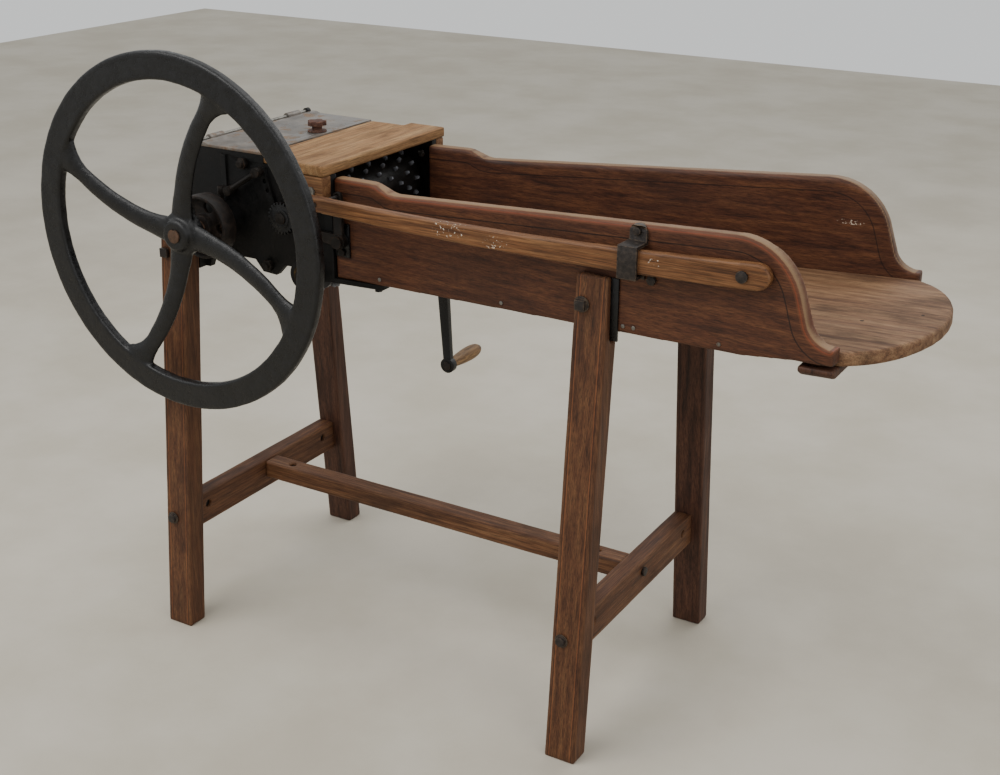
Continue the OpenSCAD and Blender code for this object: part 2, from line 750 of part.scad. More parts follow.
// Bushes of the two fixed shafts
module bush(x, z, r_out, r_in) {
    difference() {
        rod_y_axis(x, z, throat_half + 0.1, boss_out + 2, r_out - 0.02);
        rod_y_axis(x, z, throat_half - 1, boss_out + 3, r_in);
    }
}

module cutter_bushes() {
    color(brass) placed() both_sides() bush(cutter_x, cutter_z, cutter_bush_r, cutter_shaft_r + play);
}

module crank_bushes() {
    color(brass) placed() both_sides() bush(crank_x, crank_z, crank_bush_r, crank_shaft_r + play);
}

// Sliding blocks of the upper roller; they stand out past the castings so that the near one
// can be lifted by the shift lever
module roller_blocks() {
    color(iron) placed() both_sides() difference() {
        translate([upper_x - slot_half + gap, throat_half + gap, upper_z - block_below + 0.05])
            cube([2 * slot_half - 2 * gap, block_out - throat_half - gap, block_below + block_above]);
        rod_y_axis(upper_x, upper_z, throat_half - 1, block_out + 1, block_shaft_r);
    }
}

// Cups that oil the cutter bearings
module oil_cups() {
    color(brass) placed() both_sides() {
        translate([cutter_x, casting_out + 14, cutter_z + 38]) cylinder(h = 12, r = 4, $fn = 32);
        translate([cutter_x, casting_out + 14, cutter_z + 50]) cylinder(h = 16, r = 8, $fn = 32);
    }
}

// Slanting stay on the near casting, from the lid's corner down to a stud by the shaft boss
stay_a = [-301, 976];
stay_b = [-373, 931];
module brace_rod() {
    y = -casting_out - strap_t - 7;
    run = stay_a - stay_b;
    color(iron) placed() {
        rod_y_axis(stay_a[0], stay_a[1], y - 9, -casting_out - strap_t - 0.1, 9);
        rod_y_axis(stay_b[0], stay_b[1], y - 9, -casting_out - 0.1, 9);
        translate([stay_b[0], y, stay_b[1]]) rotate([0, atan2(run[0], run[1]), 0])
            cylinder(h = norm(run), r = 5.5, $fn = 40);
    }
}

// Cutter shaft with everything keyed on it
key_w = 7;
key_h = 4;

module shaft_bore(x, z, y0, y1, r) {
    rod_y_axis(x, z, y0, y1, r + 0.02);
}

module cutter_shaft() {
    color(rust) placed() difference() {
        rod_y_axis(cutter_x, cutter_z, -shaft_out, gear_in + gear_w + 3, cutter_shaft_r);
        translate([cutter_x - key_w / 2, -hub_out - 5, cutter_z + cutter_shaft_r - key_h / 2])
            cube([key_w, hub_out - hub_in + 5, key_h]);
    }
}

module flywheel_key() {
    color(rust) placed() translate([cutter_x - key_w / 2 + 0.02, -hub_out + 1,
        cutter_z + cutter_shaft_r - key_h / 2 + 0.02])
        cube([key_w - 0.04, hub_out - hub_in - 3, key_h - 0.04]);
}

// Four spokes leave the hub almost straight up, left, down and right and sweep clockwise
spokes = 4;
spoke_root_w = 46;
spoke_tip_w = 36;
spoke_t = 16;
spoke_dish = 20;
spoke_lead = 84;
spoke_sweep = 21;
spoke_end_r = wheel_r - rim_h + 6;
spoke_arc_r = spoke_end_r / (2 * sin(spoke_sweep));
rim_mid_y = wheel_y - rim_w / 2;
spoke_steps = 14;
function spoke_r(i) = 24 + (spoke_end_r - 24) * i / spoke_steps;
function spoke_turn(r) = asin(r / (2 * spoke_arc_r));
function spoke_edge(i, s) =
    let (r = spoke_r(i), a = spoke_lead - spoke_turn(r), n = spoke_lead - 2 * spoke_turn(r) + 90,
        w = s * (spoke_root_w + (spoke_tip_w - spoke_root_w) * i / spoke_steps) / 2)
    [r * cos(a) + w * cos(n), r * sin(a) + w * sin(n)];

// Each spoke is tipped about its rim end, so that the hub stands further in than the rim
module spoke() {
    tip_a = spoke_lead - spoke_sweep;
    rotate([0, 0, tip_a]) translate([spoke_end_r, 0, 0]) rotate([0, -asin(spoke_dish / spoke_end_r), 0])
        translate([-spoke_end_r, 0, 0]) rotate([0, 0, -tip_a])
        linear_extrude(height = spoke_t, center = true) polygon(concat(
            [for (i = [0:spoke_steps]) spoke_edge(i, 1)], [for (i = [spoke_steps:-1:0]) spoke_edge(i, -1)]));
}

module rim_section() {
    r = 0.36 * rim_w;
    x0 = wheel_r - rim_h;
    polygon(concat(
        arc(wheel_r - r, rim_w / 2 - r, r, 0, 90, 4), arc(x0 + r, rim_w / 2 - r, r, 90, 180, 4),
        arc(x0 + r, -rim_w / 2 + r, r, 180, 270, 4), arc(wheel_r - r, -rim_w / 2 + r, r, 270, 360, 4)));
}

module flywheel() {
    color(iron) placed() difference() {
        translate([cutter_x, -rim_mid_y, cutter_z]) rotate([90, 0, 0]) rotate([0, 0, wheel_turn]) {
            rotate_extrude($fn = 180) rim_section();
            for (k = [0:spokes - 1]) rotate([0, 0, 360 / spokes * k]) spoke();
            rotate_extrude($fn = 96) polygon([[0, hub_in - rim_mid_y], [36, hub_in - rim_mid_y],
                [42, hub_in - rim_mid_y + 8], [42, -spoke_dish + 10], [31, -spoke_dish + 13],
                [28, hub_out - rim_mid_y], [0, hub_out - rim_mid_y]]);
        }
        shaft_bore(cutter_x, cutter_z, -hub_out - 1, -hub_in + 1, cutter_shaft_r);
        translate([cutter_x - key_w / 2, -hub_out - 1, cutter_z])
            cube([key_w, hub_out - hub_in + 2, cutter_shaft_r + key_h / 2]);
    }
}

// Small flat-belt pulley on the cutter shaft between the head and the flywheel
pulley_r = 62;
module belt_pulley() {
    color(rust) placed() difference() {
        translate([cutter_x, -pulley_in, cutter_z]) rotate([90, 0, 0]) rotate_extrude($fn = 96)
            polygon([[0, 6], [24, 6], [24, pulley_w / 2 - 4], [pulley_r - 7, pulley_w / 2 - 4],
                [pulley_r - 7, 0], [pulley_r - 1.5, 0], [pulley_r, pulley_w / 2], [pulley_r - 1.5, pulley_w],
                [pulley_r - 7, pulley_w], [pulley_r - 7, pulley_w / 2 + 4], [24, pulley_w / 2 + 4],
                [24, pulley_w], [0, pulley_w]]);
        shaft_bore(cutter_x, cutter_z, -pulley_in - pulley_w - 1, -pulley_in + 1, cutter_shaft_r);
        for (i = [0:4]) translate([cutter_x, 0, cutter_z]) rotate([0, 72 * i, 0])
            rod_y_axis(39, 0, -pulley_in - pulley_w, -pulley_in, 11);
    }
}

module gear_on(x, z, y0, w, teeth, mod, turn, r_shaft, hub_r, hub_w, web) {
    pitch_r = teeth * mod / 2;
    difference() {
        union() {
            plate_y(y0, y0 + w) translate([x, z]) gear_outline(teeth, mod, turn);
            rod_y_axis(x, z, y0 + w / 2 - hub_w / 2, y0 + w / 2 + hub_w / 2, hub_r);
        }
        shaft_bore(x, z, y0 - hub_w, y0 + w + hub_w, r_shaft);
        if (web) for (s = [0, 1])
            plate_y(s == 0 ? y0 - 1 : y0 + w / 2 + 4, s == 0 ? y0 + w / 2 - 4 : y0 + w + 1)
            translate([x, z]) difference() {
                circle(r = pitch_r - 2.4 * mod, $fn = 96);
                circle(r = hub_r, $fn = 64);
            }
    }
}

module cutter_pinion() {
    color(iron) placed() gear_on(cutter_x, cutter_z, gear_in, gear_w, cutter_pinion_teeth, drive_module,
        drive_angle + 180 + 180 / cutter_pinion_teeth, cutter_shaft_r, 26, gear_w, false);
}

// Knife cylinder: three spiders carry straight knives with a small skew
spider_y = [-115, 0, 115];
knife_l = 2 * throat_half - 16;
knife_t = 6;
knife_h = 42;
knife_skew = 5;
knife_in = knife_r - 14;

module knife_frame(k) {
    translate([cutter_x, 0, cutter_z]) rotate([0, 360 / knives * k + 20, 0]) translate([knife_in, 0, 0])
        rotate([knife_skew, 0, 0]) children();
}

module knife_spiders() {
    color(iron) placed() difference() {
        union() for (y = spider_y) {
            rod_y_axis(cutter_x, cutter_z, y - 12, y + 12, 27);
            for (k = [0:knives - 1]) translate([cutter_x, 0, cutter_z]) rotate([0, 360 / knives * k + 20, 0])
                translate([15, y - 6, -12]) cube([knife_in - 16.5, 12, 24]);
        }
        shaft_bore(cutter_x, cutter_z, -throat_half, throat_half, cutter_shaft_r);
        for (k = [0:knives - 1]) knife_frame(k) {
            translate([-2, -knife_l / 2, -knife_h]) cube([knife_t + 60, knife_l, 2 * knife_h]);
            for (y = spider_y) translate([-26, y, 0]) rotate([0, 90, 0])
                cylinder(h = 40, r = 4 + hole_play, $fn = 32);
        }
    }
}

module knives_set() {
    color(steel) placed() for (k = [0:knives - 1]) knife_frame(k) difference() {
        translate([-2 + 0.05, 0, 0]) rotate([90, 0, 0]) linear_extrude(height = knife_l, center = true)
            polygon([[0, -knife_h / 2], [knife_t, -knife_h / 2 + 4], [knife_t, knife_h / 2 - 12],
                [knife_t + 1, knife_h / 2], [0, knife_h / 2 - 8]]);
        for (y = spider_y) translate([-26, y, 0]) rotate([0, 90, 0])
            cylinder(h = 60, r = 4 + hole_play, $fn = 32);
    }
}

module knife_bolts() {
    color(steel) placed() for (k = [0:knives - 1]) knife_frame(k) for (y = spider_y) {
        translate([-24, y, 0]) rotate([0, 90, 0]) cylinder(h = 24 + knife_t, r = 4, $fn = 32);
        translate([knife_t - 1.8, y, 0]) rotate([0, 90, 0]) cylinder(h = 4, r = 7, $fn = 6);
    }
}

// Crank shaft with the lower roller, the large gear and the crank fixed on it
module crank_shaft() {
    color(steel) placed() rod_y_axis(crank_x, crank_z, -boss_out - 9, crank_in + crank_t + 8,
        crank_shaft_r);
}

module crank_gear() {
    color(iron) placed() gear_on(crank_x, crank_z, gear_in, gear_w, crank_gear_teeth, drive_module,
        drive_angle, crank_shaft_r, 30, gear_w + 6, true);
}

crank_dir = [sin(crank_turn), -cos(crank_turn)];
grip_x = crank_x + crank_throw * crank_dir[0];
grip_z = crank_z + crank_throw * crank_dir[1];
spindle_r = 6;
grip_r = 16;
// A pear shape: full towards the outer end, with a rounded tip
function grip_half(t) = grip_r * (t < 0.68 ? 0.6 + 0.4 * sin(90 * t / 0.68)
    : 0.55 + 0.45 * sqrt(1 - pow((t - 0.68) / 0.32, 2)));

module crank_arm() {
    color(iron) placed() difference() {
        union() {
            plate_y(crank_in, crank_in + crank_t) translate([crank_x, crank_z])
                rotate([0, 0, crank_turn - 90]) polygon([[0, -15], [0, 15], [crank_throw, 9], [crank_throw, -9]]);
            rod_y_axis(crank_x, crank_z, crank_in - 2, crank_in + crank_t + 4, 24);
            rod_y_axis(grip_x, grip_z, crank_in - 1, crank_in + crank_t + 1, crank_end_r);
        }
        shaft_bore(crank_x, crank_z, crank_in - 5, crank_in + crank_t + 10, crank_shaft_r);
        shaft_bore(grip_x, grip_z, crank_in - 5, crank_in + crank_t + 10, spindle_r);
    }
}

module crank_spindle() {
    color(steel) placed() {
        rod_y_axis(grip_x, grip_z, crank_in - 3, spindle_end, spindle_r);
        rod_y_axis(grip_x, grip_z, crank_in - 3.1, crank_in - 1.1, 9);
        rod_y_axis(grip_x, grip_z, grip_in + grip_l + 0.5, spindle_end, 8.5);
    }
}

module crank_grip() {
    color(wood_light) placed() difference() {
        translate([grip_x, grip_in, grip_z]) rotate([-90, 0, 0]) rotate_extrude($fn = 72)
            polygon(concat([[0, 0]], [for (i = [0:17])
                let (t = i < 9 ? i / 12 : 1 - 0.25 * pow((17 - i) / 8, 2)) [grip_half(t), grip_l * t]],
                [[0, grip_l]]));
        rod_y_axis(grip_x, grip_z, grip_in - 1, grip_in + grip_l + 1, spindle_r + play);
    }
}

// A roller with rows of square spikes set in a slow spiral
module spiked_roller(x, z, half, drum_r, tip_r, rows, around, r_shaft, turn) {
    spike = 9;
    difference() {
        union() {
            rod_y_axis(x, z, -half, half, drum_r);
            for (row = [0:rows - 1], k = [0:around - 1]) {
                y = -half + 2 * half * (row + 0.5) / rows;
                a = turn + 360 * k / around + 360 / around * (row % 2) / 2;
                translate([x, y, z]) rotate([0, -a, 0]) translate([drum_r - 2, 0, 0])
                    rotate([0, 90, 0]) rotate([0, 0, 45])
                    cylinder(h = tip_r - drum_r + 2, r = spike / 1.4, $fn = 4);
            }
        }
        rod_y_axis(x, z, -half - 1, half + 1, r_shaft);
    }
}

lower_drum_r = lower_roller_r - 7;
upper_drum_r = upper_roller_r - 8;

module lower_roller() {
    color(iron) placed() spiked_roller(crank_x, crank_z, roller_half_l, lower_drum_r, lower_roller_r,
        11, 8, crank_shaft_r + 0.02, 0);
}

module lower_roller_gear() {
    color(iron) placed() gear_on(crank_x, crank_z, roller_gear_in, roller_gear_w, lower_gear_teeth,
        roller_module, roller_angle, crank_shaft_r, 24, roller_gear_w, false);
}

module upper_roller() {
    color(iron) placed() spiked_roller(upper_x, upper_z, roller_half_l, upper_drum_r, upper_roller_r,
        11, 12, upper_shaft_r + 0.02, 9);
}

module upper_roller_shaft() {
    color(steel) placed() rod_y_axis(upper_x, upper_z, -(collar_in + collar_w + 4),
        roller_gear_in + roller_gear_w + 1.5, upper_shaft_r);
}

module upper_roller_gear() {
    color(iron) placed() gear_on(upper_x, upper_z, roller_gear_in, roller_gear_w, upper_gear_teeth,
        roller_module, roller_angle + 180 + 180 / upper_gear_teeth, upper_shaft_r, 24,
        roller_gear_w, false);
}

// Ribbed collar on the near end of the upper roller's shaft
module ribbed_collar() {
    color(iron) placed() gear_on(upper_x, upper_z, -(collar_in + collar_w), collar_w, 24, 2.4, 0,
        upper_shaft_r, 18, collar_w + 4, false);
}

// Keeper: a bent iron strap that holds the shift rod to the near trough side
keeper_x = 485;
keeper_w = 34;
rod_out = rod_y + rod_t / 2;
rod_in = rod_y - rod_t / 2;
keeper_gap = 1.5;
keeper_t = 5;
keeper_base = side_y(keeper_x + keeper_w) + 1;

function rod_mid(x) = 944 + 14.5 * pow((x - 250) / 487, 2);
function rod_half(x) = 13 + 8.5 * (x - rod_start) / (rod_end - rod_start);
keeper_low = rod_mid(keeper_x) - rod_half(keeper_x + keeper_w) - keeper_gap - 1;
keeper_high = rod_mid(keeper_x + keeper_w) + rod_half(keeper_x + keeper_w) + keeper_gap + 1;

module rod_keeper() {
    color(iron) placed() mirror([0, 1, 0]) difference() {
        union() {
            translate([keeper_x, rod_out + keeper_gap, keeper_low - keeper_t])
                cube([keeper_w, keeper_t, keeper_high - keeper_low + 2 * keeper_t]);
            for (z = [keeper_low - keeper_t, keeper_high])
                translate([keeper_x, keeper_base - 0.9, z])
                    cube([keeper_w, rod_out + keeper_gap - keeper_base + 3, keeper_t]);
            // Ears that lie on the trough side
            side_frame() translate([(keeper_x + 2) / cos(side_flare), gap / 3, keeper_high])
                cube([keeper_w - 2, 5, 32]);
            side_frame() translate([(keeper_x - 16) / cos(side_flare), gap / 3, keeper_low - keeper_t - 8])
                cube([keeper_w + 14, 5, 13]);
        }
        for (p = keeper_screw_places) side_frame() translate([p[0], 20, p[1]]) rotate([90, 0, 0])
            cylinder(h = 40, r = 3 + hole_play, $fn = 32);
    }
}

keeper_screw_places = [[keeper_x + 18, keeper_high + 21], [keeper_x - 8, keeper_low - 5]];

module keeper_screws() {
    color(steel) placed() mirror([0, 1, 0]) side_frame() {
        for (p = keeper_screw_places) translate([p[0], 5 + gap / 3 + 0.1, p[1]]) rotate([-90, 0, 0])
            cylinder(h = 4, r = 7, $fn = 40);
        for (p = keeper_screw_places) translate([p[0], 5.5, p[1]]) rotate([90, 0, 0])
            cylinder(h = 5.2, r = 3, $fn = 32);
        // Odd bolt head in the board beside the keeper
        translate([keeper_x + 46, 0.1, keeper_low - 12]) rotate([-90, 0, 0]) cylinder(h = 7, r = 9, $fn = 6);
    }
}

// Shift rod: a long, slightly bowed wooden lath with a rounded feed end
rod_steps = 12;
module shift_rod() {
    tip = rod_half(rod_end) - 1;
    function rx(i) = rod_start + (rod_end - tip - rod_start) * i / rod_steps;
    outline = concat(
        [for (i = [0:rod_steps]) [rx(i), rod_mid(rx(i)) - rod_half(rx(i))]],
        arc(rod_end - tip, rod_mid(rod_end - tip), tip, -80, 80, 10),
        [for (i = [rod_steps:-1:0]) [rx(i), rod_mid(rx(i)) + rod_half(rx(i))]]);
    color(wood_light) placed() difference() {
        plate_y(-rod_out, -rod_in) polygon(outline);
        rod_y_axis(rod_end - 44, rod_mid(rod_end - 44), -rod_out - 1, -rod_in + 1, 4.2);
        rod_y_axis(pivot_x, rod_pin_z, -rod_out - 1, -rod_in + 1, rod_pin_r + 0.02);
    }
}

module shift_rod_bolts() {
    color(iron) placed() {
        x = rod_end - 44;
        rod_y_axis(x, rod_mid(x), -rod_out - 1, -rod_in + 0.2, 4);
        rod_y_axis(x, rod_mid(x), -rod_out - 5, -rod_out - 0.05, 10);
        rod_y_axis(pivot_x, rod_pin_z, -rod_out - 1, -lever_in, rod_pin_r);
    }
}

// Shift lever: a bell crank beside the near trough side. The rod pulls its upper arm and its toe
// lifts the near block of the upper roller, which takes the roller gears out of mesh
pivot_x = -120;
pivot_z = 868;
pivot_r = 7;
lever_in = 180.5;
lever_t = 8;
rod_pin_r = 4;
rod_pin_z = rod_mid(pivot_x);
toe_r = 5;
toe_x = upper_x + 8;
toe_z = upper_z - block_below - gap - toe_r;

module shift_lever() {
    color(iron) placed() difference() {
        union() {
            plate_y(-lever_in - lever_t, -lever_in) {
                polygon([[pivot_x - 10, pivot_z], [pivot_x - 9, rod_pin_z], [pivot_x + 9, rod_pin_z],
                    [pivot_x + 10, pivot_z]]);
                polygon([[pivot_x, pivot_z - 12], [pivot_x, pivot_z + 12], [toe_x, toe_z + toe_r],
                    [toe_x, toe_z - toe_r]]);
            }
            rod_y_axis(pivot_x, rod_pin_z, -lever_in - lever_t, -lever_in, 9);
            rod_y_axis(toe_x, toe_z, -lever_in - lever_t, -lever_in, toe_r);
            rod_y_axis(pivot_x, pivot_z, -lever_in - lever_t - 3, -lever_in, 15);
        }
        rod_y_axis(pivot_x, pivot_z, -lever_in - lever_t - 4, -lever_in + 1, pivot_r + play);
        for (z = [0, 1.2]) rod_y_axis(pivot_x, rod_pin_z + z, -lever_in - lever_t - 1, -lever_in + 1,
            rod_pin_r + play);
        translate([pivot_x - rod_pin_r - play, -lever_in - lever_t - 1, rod_pin_z])
            cube([2 * (rod_pin_r + play), lever_t + 2, 1.2]);
    }
}

// Cast bracket on the near trough side with the boss that the lever turns against
module lever_bracket() {
    plate_w = 34;
    color(iron) placed() mirror([0, 1, 0]) difference() {
        union() {
            side_frame() translate([(pivot_x - plate_w / 2) / cos(side_flare), 0.1, pivot_z - 32])
                cube([plate_w, 4, 64]);
            rod_y_axis(pivot_x, pivot_z, side_y(pivot_x) + 1.5, lever_in - gap, 14);
        }
        rod_y_axis(pivot_x, pivot_z, side_y(pivot_x) - 5, lever_in + 1, pivot_r + 0.02);
        for (s = [-1, 1]) rod_y_axis(pivot_x, pivot_z + 24 * s, side_y(pivot_x) - 5, lever_in, 3.3);
    }
}

// Stud that the lever turns on, and the two screws of its bracket
module lever_pin() {
    color(steel) placed() mirror([0, 1, 0]) {
        rod_y_axis(pivot_x, pivot_z, side_y(pivot_x) + 2, lever_in + lever_t + 4, pivot_r);
        rod_y_axis(pivot_x, pivot_z, lever_in + lever_t + 3.3, lever_in + lever_t + 8, 12);
        for (s = [-1, 1]) rod_y_axis(pivot_x, pivot_z + 24 * s, side_y(pivot_x) + 1.5,
            side_y(pivot_x) + 6, 3);
        for (s = [-1, 1]) rod_y_axis(pivot_x, pivot_z + 24 * s, side_y(pivot_x) + 5.6,
            side_y(pivot_x) + 8.5, 6.5);
    }
}

front_near_leg();
front_far_leg();
rear_near_leg();
rear_far_leg();
front_cross_rail();
rear_cross_rail();
long_rail();
rail_bolts();
rail_nuts();
leg_plates();
leg_bolts();
near_side_board();
far_side_board();
trough_floor();
floor_cleat();
floor_nails();
near_side_casting();
far_side_casting();
near_cheek();
far_cheek();
cheek_bolts();
head_top_board();
lid();
lid_hinge_pin();
lid_knob();
bed_plate();
shear_bar();
tie_bolts();
tongue_bolts();
cutter_bushes();
crank_bushes();
roller_blocks();
oil_cups();
brace_rod();
cutter_shaft();
flywheel();
flywheel_key();
belt_pulley();
cutter_pinion();
knife_spiders();
knives_set();
knife_bolts();
crank_shaft();
crank_gear();
crank_arm();
crank_spindle();
crank_grip();
lower_roller();
lower_roller_gear();
upper_roller();
upper_roller_shaft();
upper_roller_gear();
ribbed_collar();
rod_keeper();
keeper_screws();
shift_rod();
shift_rod_bolts();
shift_lever();
lever_bracket();
lever_pin();
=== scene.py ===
import json
import math
import bpy
from mathutils import Matrix, Vector


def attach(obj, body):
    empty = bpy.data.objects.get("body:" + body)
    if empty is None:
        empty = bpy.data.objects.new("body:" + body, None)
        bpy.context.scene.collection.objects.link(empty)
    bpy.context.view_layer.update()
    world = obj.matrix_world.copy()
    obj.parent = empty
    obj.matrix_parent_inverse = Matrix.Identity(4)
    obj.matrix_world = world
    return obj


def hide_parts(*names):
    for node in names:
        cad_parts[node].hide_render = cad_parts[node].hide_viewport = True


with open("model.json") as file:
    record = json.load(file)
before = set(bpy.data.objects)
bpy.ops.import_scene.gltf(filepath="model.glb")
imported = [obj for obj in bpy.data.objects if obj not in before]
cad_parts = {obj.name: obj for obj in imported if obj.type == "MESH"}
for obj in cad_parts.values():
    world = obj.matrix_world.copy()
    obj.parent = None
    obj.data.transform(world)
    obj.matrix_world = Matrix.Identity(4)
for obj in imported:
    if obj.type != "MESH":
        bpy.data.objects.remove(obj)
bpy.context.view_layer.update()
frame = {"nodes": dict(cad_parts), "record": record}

print("frame loaded:", len(frame["nodes"]), "CAD nodes")


def place(x, y, z):
    # machine millimetres, as the sizes were measured, to metres in the frame
    return Vector(((x - 108.5) / 1000, (y - 29.0) / 1000, z / 1000))


def linearColour(hexText):
    # sRGB hex to the linear values that shaders take
    parts = [int(hexText[i:i + 2], 16) / 255 for i in (1, 3, 5)]
    return [p / 12.92 if p <= 0.04045 else ((p + 0.055) / 1.055) ** 2.4 for p in parts] + [1.0]


def addNode(tree, kind, settings=None, links=None):
    # settings name an attribute or an input, links feed an input from (node, output)
    made = tree.nodes.new("ShaderNode" + kind)
    for key, value in (settings or {}).items():
        if isinstance(key, str) and hasattr(made, key):
            setattr(made, key, value)
        else:
            made.inputs[key].default_value = value
    for key, (source, output) in (links or {}).items():
        tree.links.new(source.outputs[output], made.inputs[key])
    return made


def addRamp(tree, source, output, stops, smooth="EASE"):
    ramp = addNode(tree, "ValToRGB", {}, {0: (source, output)})
    ramp.color_ramp.interpolation = smooth
    for i, (position, colour) in enumerate(stops):
        stop = ramp.color_ramp.elements[i] if i < 2 else ramp.color_ramp.elements.new(position)
        stop.position = position
        stop.color = linearColour(colour)
    return ramp


def deselectAll():
    if bpy.context.mode != "OBJECT":
        bpy.ops.object.mode_set(mode="OBJECT")
    bpy.ops.object.select_all(action="DESELECT")


def pick(piece):
    deselectAll()
    piece.select_set(True)
    bpy.context.view_layer.objects.active = piece


def editPiece(piece, selectMode="VERT"):
    pick(piece)
    bpy.ops.object.mode_set(mode="EDIT")
    bpy.ops.mesh.select_mode(type=selectMode)
    bpy.ops.mesh.select_all(action="DESELECT")


def doneEditing():
    bpy.ops.object.mode_set(mode="OBJECT")


def selectWhere(piece, what, test):
    # what is "vertices", "edges" or "polygons"; test gets one of them
    bpy.ops.object.mode_set(mode="OBJECT")
    for v in piece.data.vertices:
        v.select = False
    for e in piece.data.edges:
        e.select = False
    for f in piece.data.polygons:
        f.select = False
    for item in getattr(piece.data, what):
        item.select = bool(test(item))
    bpy.ops.object.mode_set(mode="EDIT")


def freezePlace(piece):
    # the finished object sits at the origin, with its place in its mesh
    pick(piece)
    bpy.ops.object.transform_apply(location=True, rotation=True, scale=True)


def applyModifier(piece, kind, settings):
    pick(piece)
    modifier = piece.modifiers.new(kind.lower(), kind)
    for key, value in settings.items():
        setattr(modifier, key, value)
    bpy.ops.object.modifier_apply(modifier=modifier.name)


def cleanMesh(piece, merge=0.00002):
    editPiece(piece)
    bpy.ops.mesh.select_all(action="SELECT")
    bpy.ops.mesh.remove_doubles(threshold=merge)
    bpy.ops.mesh.normals_make_consistent(inside=False)
    doneEditing()


def roughen(piece, depth, size, depthScale=3):
    # slow unevenness of old sawn wood or sand-cast iron
    clouds = bpy.data.textures.new(piece.name + "Clouds", "CLOUDS")
    clouds.noise_scale = size
    clouds.noise_depth = depthScale
    applyModifier(piece, "DISPLACE", {"texture": clouds, "strength": depth, "mid_level": 0.5,
                                      "texture_coords": "LOCAL"})


def smoothBy(piece, degrees):
    pick(piece)
    bpy.ops.object.shade_smooth_by_angle(angle=math.radians(degrees), keep_sharp_edges=False)


def finishPiece(piece, body, nodes, material, degrees=35):
    freezePlace(piece)
    if not piece.data.materials:
        piece.data.materials.append(material)
    smoothBy(piece, degrees)
    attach(piece, body)
    if nodes:
        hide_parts(*nodes)
    return piece


def copyNode(nodeName, pieceName, dissolve=4):
    # a merged copy of a CAD node's mesh, its flat faces whole again
    source = frame["nodes"][nodeName]
    piece = bpy.data.objects.new(pieceName, source.data.copy())
    bpy.context.scene.collection.objects.link(piece)
    piece.data.materials.clear()
    editPiece(piece)
    bpy.ops.mesh.select_all(action="SELECT")
    bpy.ops.mesh.remove_doubles(threshold=0.00001)
    bpy.ops.mesh.dissolve_limited(angle_limit=math.radians(dissolve))
    doneEditing()
    for name in [a.name for a in piece.data.attributes if a.domain == "CORNER" and a.name == "custom_normal"]:
        piece.data.attributes.remove(piece.data.attributes[name])
    return piece


cameraSettings = {"place": (1451.1, -2252.7, 1629.9), "yaw": 30.632, "pitch": 22.165, "roll": 0.342,
                  "lens": 52.234}


def makeCamera(s):
    yaw, pitch, roll = (math.radians(s[k]) for k in ("yaw", "pitch", "roll"))
    ahead = Vector((-math.sin(yaw) * math.cos(pitch), math.cos(yaw) * math.cos(pitch), -math.sin(pitch)))
    side = Vector((math.cos(yaw), math.sin(yaw), 0))
    above = side.cross(ahead)
    right = side * math.cos(roll) + above * math.sin(roll)
    up = above * math.cos(roll) - side * math.sin(roll)
    data = bpy.data.cameras.new("photoCamera")
    data.lens = s["lens"]
    data.sensor_width = 36
    data.clip_end = 50
    camera = bpy.data.objects.new("photoCamera", data)
    camera.matrix_world = Matrix.Translation(place(*s["place"])) @ Matrix((right, up, -ahead)).transposed().to_4x4()
    bpy.context.scene.collection.objects.link(camera)
    bpy.context.scene.camera = camera


lightSettings = [
    {"name": "ceilingLight", "place": (-1.2, -1.9, 3.4), "aim": (-0.1, 0, 0.6), "size": 2.4, "power": 84},
    {"name": "rightFill", "place": (3.2, -1.6, 2.2), "aim": (0.2, 0, 0.7), "size": 2.6, "power": 32},
    {"name": "farTop", "place": (0.4, 2.2, 3.2), "aim": (0, 0, 0.7), "size": 2.6, "power": 40},
]


def makeLights(lights):
    for s in lights:
        data = bpy.data.lights.new(s["name"], "AREA")
        data.size = s["size"]
        data.energy = s["power"]
        data.color = (1.0, 0.985, 0.965)
        lamp = bpy.data.objects.new(s["name"], data)
        lamp.location = s["place"]
        aim = Vector(s["aim"]) - Vector(s["place"])
        lamp.rotation_euler = aim.to_track_quat("-Z", "Y").to_euler()
        bpy.context.scene.collection.objects.link(lamp)
    world = bpy.data.worlds.new("paleStudio")
    world.use_nodes = True
    background = world.node_tree.nodes["Background"]
    background.inputs["Color"].default_value = linearColour("#eceeee")
    background.inputs["Strength"].default_value = 0.95
    bpy.context.scene.world = world


def makeFloor():
    deselectAll()
    bpy.ops.mesh.primitive_plane_add(size=14, location=(0, 0, 0))
    floor = bpy.context.object
    floor.name = "studioFloor"
    material = bpy.data.materials.new("paleConcrete")
    material.use_nodes = True
    tree = material.node_tree
    surface = tree.nodes["Principled BSDF"]
    where = addNode(tree, "TexCoord")
    mottle = addNode(tree, "TexNoise", {"Scale": 2.2, "Detail": 8.0, "Roughness": 0.6}, {"Vector": (where, "Object")})
    tone = addRamp(tree, mottle, "Fac", [(0.3, "#b3ab9b"), (0.7, "#c1baac")])
    tree.links.new(tone.outputs["Color"], surface.inputs["Base Color"])
    surface.inputs["Roughness"].default_value = 0.8
    floor.data.materials.append(material)


makeCamera(cameraSettings)
makeLights(lightSettings)
makeFloor()
print("camera, lights and floor done")


